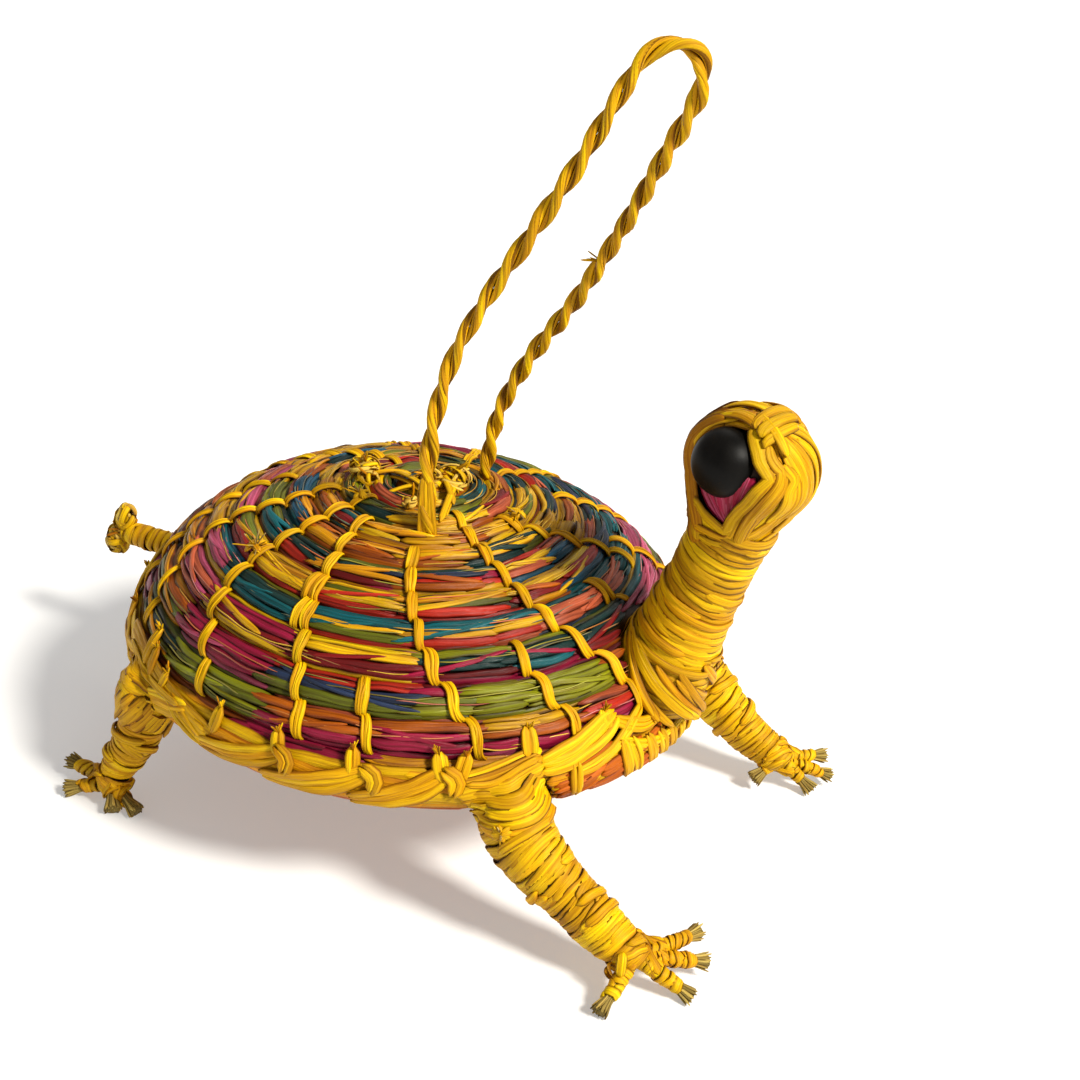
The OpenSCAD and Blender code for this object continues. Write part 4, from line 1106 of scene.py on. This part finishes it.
weave.tube(np.array([tuft_root + t * TAIL_DIR for t in (-0.5, 0.6, 1.6, 2.6)]), (0, 0, 1.0), 1.7, 1.7, DYES["G"])
for direction, off, count in lobes:
    weave.tuft(tuft_root + 1.0 * TAIL_DIR, direction, count, 3.2, 0.5, 1.8, [DYES["Y"], DYES["G"]], curl=0.8, tip=0.5)
for off, radius, count in (((-1.2, 0, 3.0), 3.3, 30), ((-3.0, -0.4, -2.4), 3.5, 34), ((-2.2, -0.6, 0.4), 2.4, 12)):
    weave.curl(tuft_root + off, radius, count, 1.9, [DYES["Y"], DYES["Y"], DYES["Y"] * 0.6 + STRAW * 0.4], (0.75, 0.7, 1.1))
place(weave, WRAP, "tail", "wrap_yellow", "tail_tuft")


# ---------- neck ----------
NECK_AXIS_T = [-8, -6, -3, 0, 4, 8, 12, 18, 26, 34, 39.5]
NECK_RADII = [4.2, 6.8, 8.7, 9.3, 9.6, 9.3, 8.7, 7.9, 7.3, 7.4, 7.9]
neck_t = np.linspace(-8, 39.5, 60)
neck = Limb(NECK_AT + neck_t[:, None] * NECK_DIR, np.interp(neck_t, NECK_AXIS_T, NECK_RADII), (0, 1, 0))
weave = Weave("neck_wraps")
limb_core(weave, neck)
wrap(weave, neck, 1.0, 20, 3.2, 2.8, slant=1.4, phase=1.0, lift=-0.1)
wrap(weave, neck, 18.5, 36, 2.8, 2.4, slant=0.8, phase=1.2, lift=-0.05)
wrap(weave, neck, 34, neck.length, 2.4, 2.6, slant=0.5, phase=0.6, lift=0.15)
for _ in range(14):
    s0, phi0 = weave.rng.uniform(7, 40), weave.rng.uniform(0, 6.28)
    cross_wrap(weave, neck, s0, s0 + weave.rng.uniform(0.8, 2.6), phi0, phi0 + weave.rng.uniform(1.5, 3.5), 2.0, 0.4)
place(weave, WRAP, "neck", "wrap_yellow", "neck_wrap")

# Strips that sweep from the neck's foot on to the shell
weave = Weave("neck_collar")
for phi in np.radians(np.arange(10, 350, 15)) + weave.rng.uniform(-0.12, 0.12, 23):
    t = np.linspace(0, 1, 24)
    along = 17.5 + weave.rng.uniform(-3.5, 1.5) - 11.5 * t
    angle = phi + weave.rng.uniform(1.2, 2.1) * (1 - t)
    radius = np.interp(along - 8, NECK_AXIS_T, NECK_RADII) + 0.5 + 2.6 * t ** 2.5
    path, normal = neck.at(along, angle, 0)
    centre = NECK_AT + (along - 8)[:, None] * NECK_DIR
    path = centre + unit(path - centre) * radius[:, None]
    weave.strip(path, normal, weave.rng.uniform(1.6, 2.4), 0.45, tint(weave.rng, "Y", 0.2), taper=4, edge=0.75)
obj = weave.mesh_object(WRAP)
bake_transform(obj)


# ---------- head ----------
HEAD_AT, HEAD_R = np.array([66.5, 0, 90.0]), 12.7
SEED_UP, SEED_BACK = math.radians(20), math.radians(24)
HEAD_TOP, HEAD_LOW = unit(np.array([0.09, -0.47, 0.87])), unit(np.array([-0.237, 0, -0.972]))
EYE_OPEN = 0.63
# The head is drawn out towards the neck: distance of its skin from its middle, by angle from HEAD_LOW
SKIN_ANGLE = [0.44, 0.51, 0.57, 0.69, 0.82, 0.97, 1.22, 1.40, 1.57, 1.73, 3.15]
SKIN_R = [17.8, 16.4, 15.3, 14.0, 13.1, 12.3, 11.7, 12.0, 12.4, 12.7, 12.7]


def seed_direction(side):
    return np.array([-math.sin(SEED_BACK) * math.cos(SEED_UP), side * math.cos(SEED_BACK) * math.cos(SEED_UP),
                     math.sin(SEED_UP)])


def part_round_eyes(directions, depth=0.5):
    """Pushes strips out of the drop-shaped openings round the seeds; each drop points down to the neck."""
    for side in (-1, 1):
        eye = seed_direction(side)
        point = unit(np.array([-0.101, side * 0.77, -0.63]))
        down = unit(point - (point @ eye) * eye)
        away = np.arccos(np.clip(directions @ eye, -1, 1))
        tangent = unit(directions - (directions @ eye)[:, None] * eye)
        toward = np.clip(tangent @ down, -1, 1)
        drop = 1.29 / np.maximum(toward + 1.2 * np.sqrt(1 - toward ** 2), 0.1)
        opening = np.where(toward > 0, np.maximum(EYE_OPEN, drop), EYE_OPEN)
        reach = opening + depth
        new = np.where(away < reach, opening + away * (reach - opening) / reach, away)
        directions = unit(np.cos(new)[:, None] * eye + np.sin(new)[:, None] * tangent)
    return directions


def head_strip(weave, directions, lift, wide, letter="Y", depth=0.5, **options):
    """A strip over the head's skin; its far end runs on down the neck."""
    for _ in range(5):
        directions = part_round_eyes(directions, depth)
        for _ in range(5):
            directions[1:-1] = unit(directions[:-2] + 2 * directions[1:-1] + directions[2:])
        depth = 0.06
    directions = part_round_eyes(directions, 0.03)
    skin = np.interp(np.arccos(np.clip(directions @ HEAD_LOW, -1, 1)), SKIN_ANGLE, SKIN_R)
    path = even(HEAD_AT + directions * (skin + lift)[:, None], 0.8)
    normal = unit(path - HEAD_AT)
    normal = unit(normal - np.clip(normal @ HEAD_LOW - 0.45, 0, 1)[:, None] * 1.4 * HEAD_LOW)
    weave.strip(path, normal, wide, 0.8, tint(weave.rng, letter, 0.18), across=8, ridge=0.3, bulge=0.5, edge=0.7, **options)


weave = Weave("head_strips")
rng = weave.rng
pole_a = unit(np.cross(HEAD_TOP, (0, 1, 0)))
pole_b = np.cross(HEAD_TOP, pole_a)
for layer, count in ((0, 40), (1, 19)):
    for i in range(count):
        phi = 2 * math.pi * (i + rng.uniform(-0.3, 0.3)) / count
        waist = math.cos(phi) * pole_a + math.sin(phi) * pole_b
        start, end = (0.03, 1.0) if layer == 0 else (rng.uniform(0.06, 0.2), rng.uniform(0.7, 1.0))
        t = np.linspace(start, end, 90)[:, None]
        foot = HEAD_LOW + 0.25 * waist + rng.uniform(0.35, 0.6) * np.cross(HEAD_LOW, waist)
        directions = unit((1 - t) ** 2 * HEAD_TOP + 3.4 * t * (1 - t) * waist + t ** 2 * foot)
        directions = directions[directions @ HEAD_LOW < math.cos(0.5)]
        lift = (-1.1 if layer == 0 else -0.7) + rng.uniform(-0.15, 0.2) + 0.25 * np.sin(3 * np.linspace(0, 1, 90) + i)[:len(directions)]
        head_strip(weave, directions, lift, rng.uniform(2.0, 3.0), taper=3, depth=0.4)
# Strips laid across the top, and the crossing that holds them
for start, end, wide, lift, letter in (
        ((-0.80, -0.30, 0.52), (0.25, -0.28, 0.93), 2.6, -0.35, "G"), ((-0.66, -0.38, 0.65), (0.28, -0.38, 0.88), 2.8, -0.2, "Y"),
        ((-0.52, -0.48, 0.71), (0.16, -0.50, 0.85), 2.6, -0.1, "Y"), ((-0.80, 0.1, 0.6), (0.3, -0.1, 0.95), 2.8, -0.3, "Y"),
        ((0.28, 0.30, 0.91), (-0.02, -0.66, 0.75), 2.6, 0.15, "Y"), ((0.42, 0.16, 0.89), (0.10, -0.70, 0.70), 2.8, 0.25, "Y"),
        ((0.52, 0.0, 0.85), (0.22, -0.74, 0.63), 2.4, 0.05, "Y"), ((-0.3, 0.6, 0.74), (0.5, 0.2, 0.84), 2.8, -0.2, "Y"),
        ((0.0, -0.30, 0.95), (0.62, -0.55, 0.56), 2.2, 0.2, "Y")):
    t = np.linspace(0, 1, 60)[:, None]
    head_strip(weave, unit(unit(start) * (1 - t) + unit(end) * t), lift + 0.3 * np.sin(math.pi * t[:, 0]), wide, letter, 0.2, taper=2.5)
# Strips that stand proud along the outer side of each seed
for side in (-1, 1):
    for out, letter in ((0.0, "G"), (0.4, "Y"), (0.8, "G")):
        knots = [(-0.45, side * 0.33, 0.83), (-0.78, side * 0.27, 0.57), (-0.95, side * 0.27, 0.2), (-0.88, side * 0.38, -0.2),
                 (-0.62, side * 0.48, -0.62), (-0.42, side * 0.42, -0.85)]
        directions = unit(catmull_rom(unit(np.array(knots) + (0.12 * out, side * (0.1 - 0.2 * out), 0)), 10))
        skin = np.interp(np.arccos(np.clip(directions @ HEAD_LOW, -1, 1)), SKIN_ANGLE, SKIN_R)
        rise = 0.55 * np.exp(-((np.linspace(0, 1, len(directions)) - 0.42) / 0.2) ** 2) - 0.4 - 0.3 * out
        # Gold for two of the three strips and the factor 0.8 are painted shade: they stand for yellow strips lying in
        # shade
        weave.strip(HEAD_AT + directions * (skin + rise)[:, None], unit(directions + (0, side * 1.5, 0)), 3.4, 0.6,
                    tint(rng, letter) * 0.8, taper=3, across=8, bulge=0.5, edge=0.7)
place(weave, WRAP, "neck", "wrap_yellow", "head_cover")

# Pink fibre under each seed, its strips meeting in a point towards the neck
weave = Weave("head_lining")
# A dark brown core fills the head under its strips: painted shade that shows through the gaps
globe = np.linspace(0.5, 3.1, 18)
reach = np.interp(globe, SKIN_ANGLE, SKIN_R) - 2.1
weave.tube(HEAD_AT + (reach * np.cos(globe))[:, None] * HEAD_LOW, (0, 1.0, 0), reach * np.sin(globe), reach * np.sin(globe),
           SHADOW_CORE_BROWN, sides=28)
for side in (-1, 1):
    eye = seed_direction(side)
    point = unit(np.array([-0.101, side * 0.77, -0.63]))
    down = unit(point - (point @ eye) * eye)
    across_dir = np.cross(eye, down)
    for i in range(13):
        fan = (i - 6) / 6
        t = np.linspace(0.2, 1, 20)[:, None]
        spread = fan * 0.95 * (1 - t ** 1.4)
        directions = unit(eye * np.cos(1.2 * t) + down * np.sin(1.2 * t) + across_dir * spread)
        skin = np.interp(np.arccos(np.clip(directions @ HEAD_LOW, -1, 1)), SKIN_ANGLE, SKIN_R)
        path = HEAD_AT + directions * (skin - 1.7 + 0.15 * math.cos(fan * 3))[:, None]
        colour = (DYES["P"] * 0.8 + DYES["C"] * 0.2 if i % 2 else DYES["C"]) * weave.rng.uniform(0.75, 1.05)
        weave.strip(path, directions, 1.8, 0.6, colour, taper=1.5)
place(weave, STRIP, "neck", "fibre_pink", "head_core")

SEED = seed_material()
for node in ("eye_right", "eye_left"):
    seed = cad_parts[node]
    seed.data.materials.clear()
    seed.data.materials.append(SEED)


# ---------- hanging loop ----------
LOOP_ROUTE = [
    [9.5, -18.5, 65], [7.8, -17.5, 74], [7.2, -16.5, 86], [9.1, -15, 100], [14.4, -13.5, 113.5], [21.2, -12, 127],
    [28, -10.5, 141], [33.2, -9, 153.5], [36.6, -7.5, 160.8], [41, -5, 163.4], [44.6, -2.5, 161.2], [44.5, -1, 154.5],
    [39.4, 1.5, 143.6], [32, 5, 128.5], [22.4, 8.5, 110.3], [12.8, 10, 94.5], [7.5, 10, 81], [6, 10, 67]]
fine = even(catmull_rom(LOOP_ROUTE, 8), 0.7)
loop = Limb(fine, np.full(len(fine), 0.0), (0, 1, 0))
weave = Weave("loop_strands")
lay = np.interp(loop.s / loop.length, [0, 0.45, 0.6, 1], [18.0, 17.0, 14.5, 13.5])
twist = np.concatenate([[0], np.cumsum(np.diff(loop.s) * 2 * math.pi / lay[1:])])
for ply in range(2):
    turn = twist + math.pi * ply
    spoke = np.cos(turn)[:, None] * loop.a + np.sin(turn)[:, None] * loop.b
    cross = -np.sin(turn)[:, None] * loop.a + np.cos(turn)[:, None] * loop.b
    middle = fine + 0.82 * spoke
    weave.tube(middle, cross, 0.95, 0.7, DYES["G"] * 0.45, sides=10)
    for fold in (-1.9, -0.95, 0.0, 0.95, 1.9):
        out = math.cos(fold) * spoke + math.sin(fold) * cross
        path = middle + out * 0.62 + out * (0.1 * np.sin(loop.s / 9 + fold))[:, None]
        size = 1.25 * (1 + 0.12 * np.sin(loop.s / 7 + ply + fold))
        weave.strip(path, out, size, 0.55, tint(weave.rng, "Y", 0.18), taper=2, across=6)
# Flat straight bundle at the right root, and a loose end half-way down the left branch
for i in range(4):
    t = np.linspace(0, 1, 16)[:, None]
    path = (np.array([9.9, -19.2, 64.2]) * (1 - t) + np.array([8.0, -18.6, 76.5]) * t
            + np.array([1, 0.35, 0]) * (i - 1.5) * 0.95 * (1 - 0.6 * t))
    weave.strip(path, np.broadcast_to([0.3, -0.95, 0.1], path.shape), 1.3, 0.6, tint(weave.rng, "Y"), taper=2)
weave.tuft(loop.route[int(len(fine) * 0.735)], (-0.6, -0.4, 0.4), 5, 3.0, 0.6, 0.4, [DYES["Y"]])
loop_piece = place(weave, WRAP, "loop", "cord_yellow", "hanging_loop")


# ---------- studio ----------
def studio():
    world = bpy.data.worlds.new("studio")
    bpy.context.scene.world = world
    world.use_nodes = True
    background = world.node_tree.nodes["Background"]
    background.inputs["Color"].default_value = (1, 1, 1, 1)
    background.inputs["Strength"].default_value = 0.29
    for name, spot, strength, angle in (("key", (0.71, -0.10, 0.69), 5.4, 13), ("rim", (-0.2, 0.9, 0.8), 0.5, 40)):
        data = bpy.data.lights.new(name, "SUN")
        data.energy, data.angle = strength, math.radians(angle)
        data.color = (1, 0.96, 0.88)
        light = bpy.data.objects.new(name, data)
        light.location = spot
        light.rotation_euler = (-Vector(spot)).to_track_quat("-Z", "Y").to_euler()
        bpy.context.scene.collection.objects.link(light)
    mesh = bpy.data.meshes.new("floor")
    half = 3.0
    mesh.from_pydata([(-half, -half, 0), (half, -half, 0), (half, half, 0), (-half, half, 0)], [], [(0, 1, 2, 3)])
    floor = bpy.data.objects.new("floor", mesh)
    bpy.context.scene.collection.objects.link(floor)
    paper = bpy.data.materials.new("pale_floor")
    paper.use_nodes = True
    shader = paper.node_tree.nodes["Principled BSDF"]
    shader.inputs["Base Color"].default_value = (0.66, 0.66, 0.66, 1)
    shader.inputs["Roughness"].default_value = 0.9
    shader.inputs["Emission Color"].default_value = (1, 1, 1, 1)
    shader.inputs["Emission Strength"].default_value = 0.3
    mesh.materials.append(paper)


studio()
bpy.context.scene.view_settings.view_transform = "Standard"
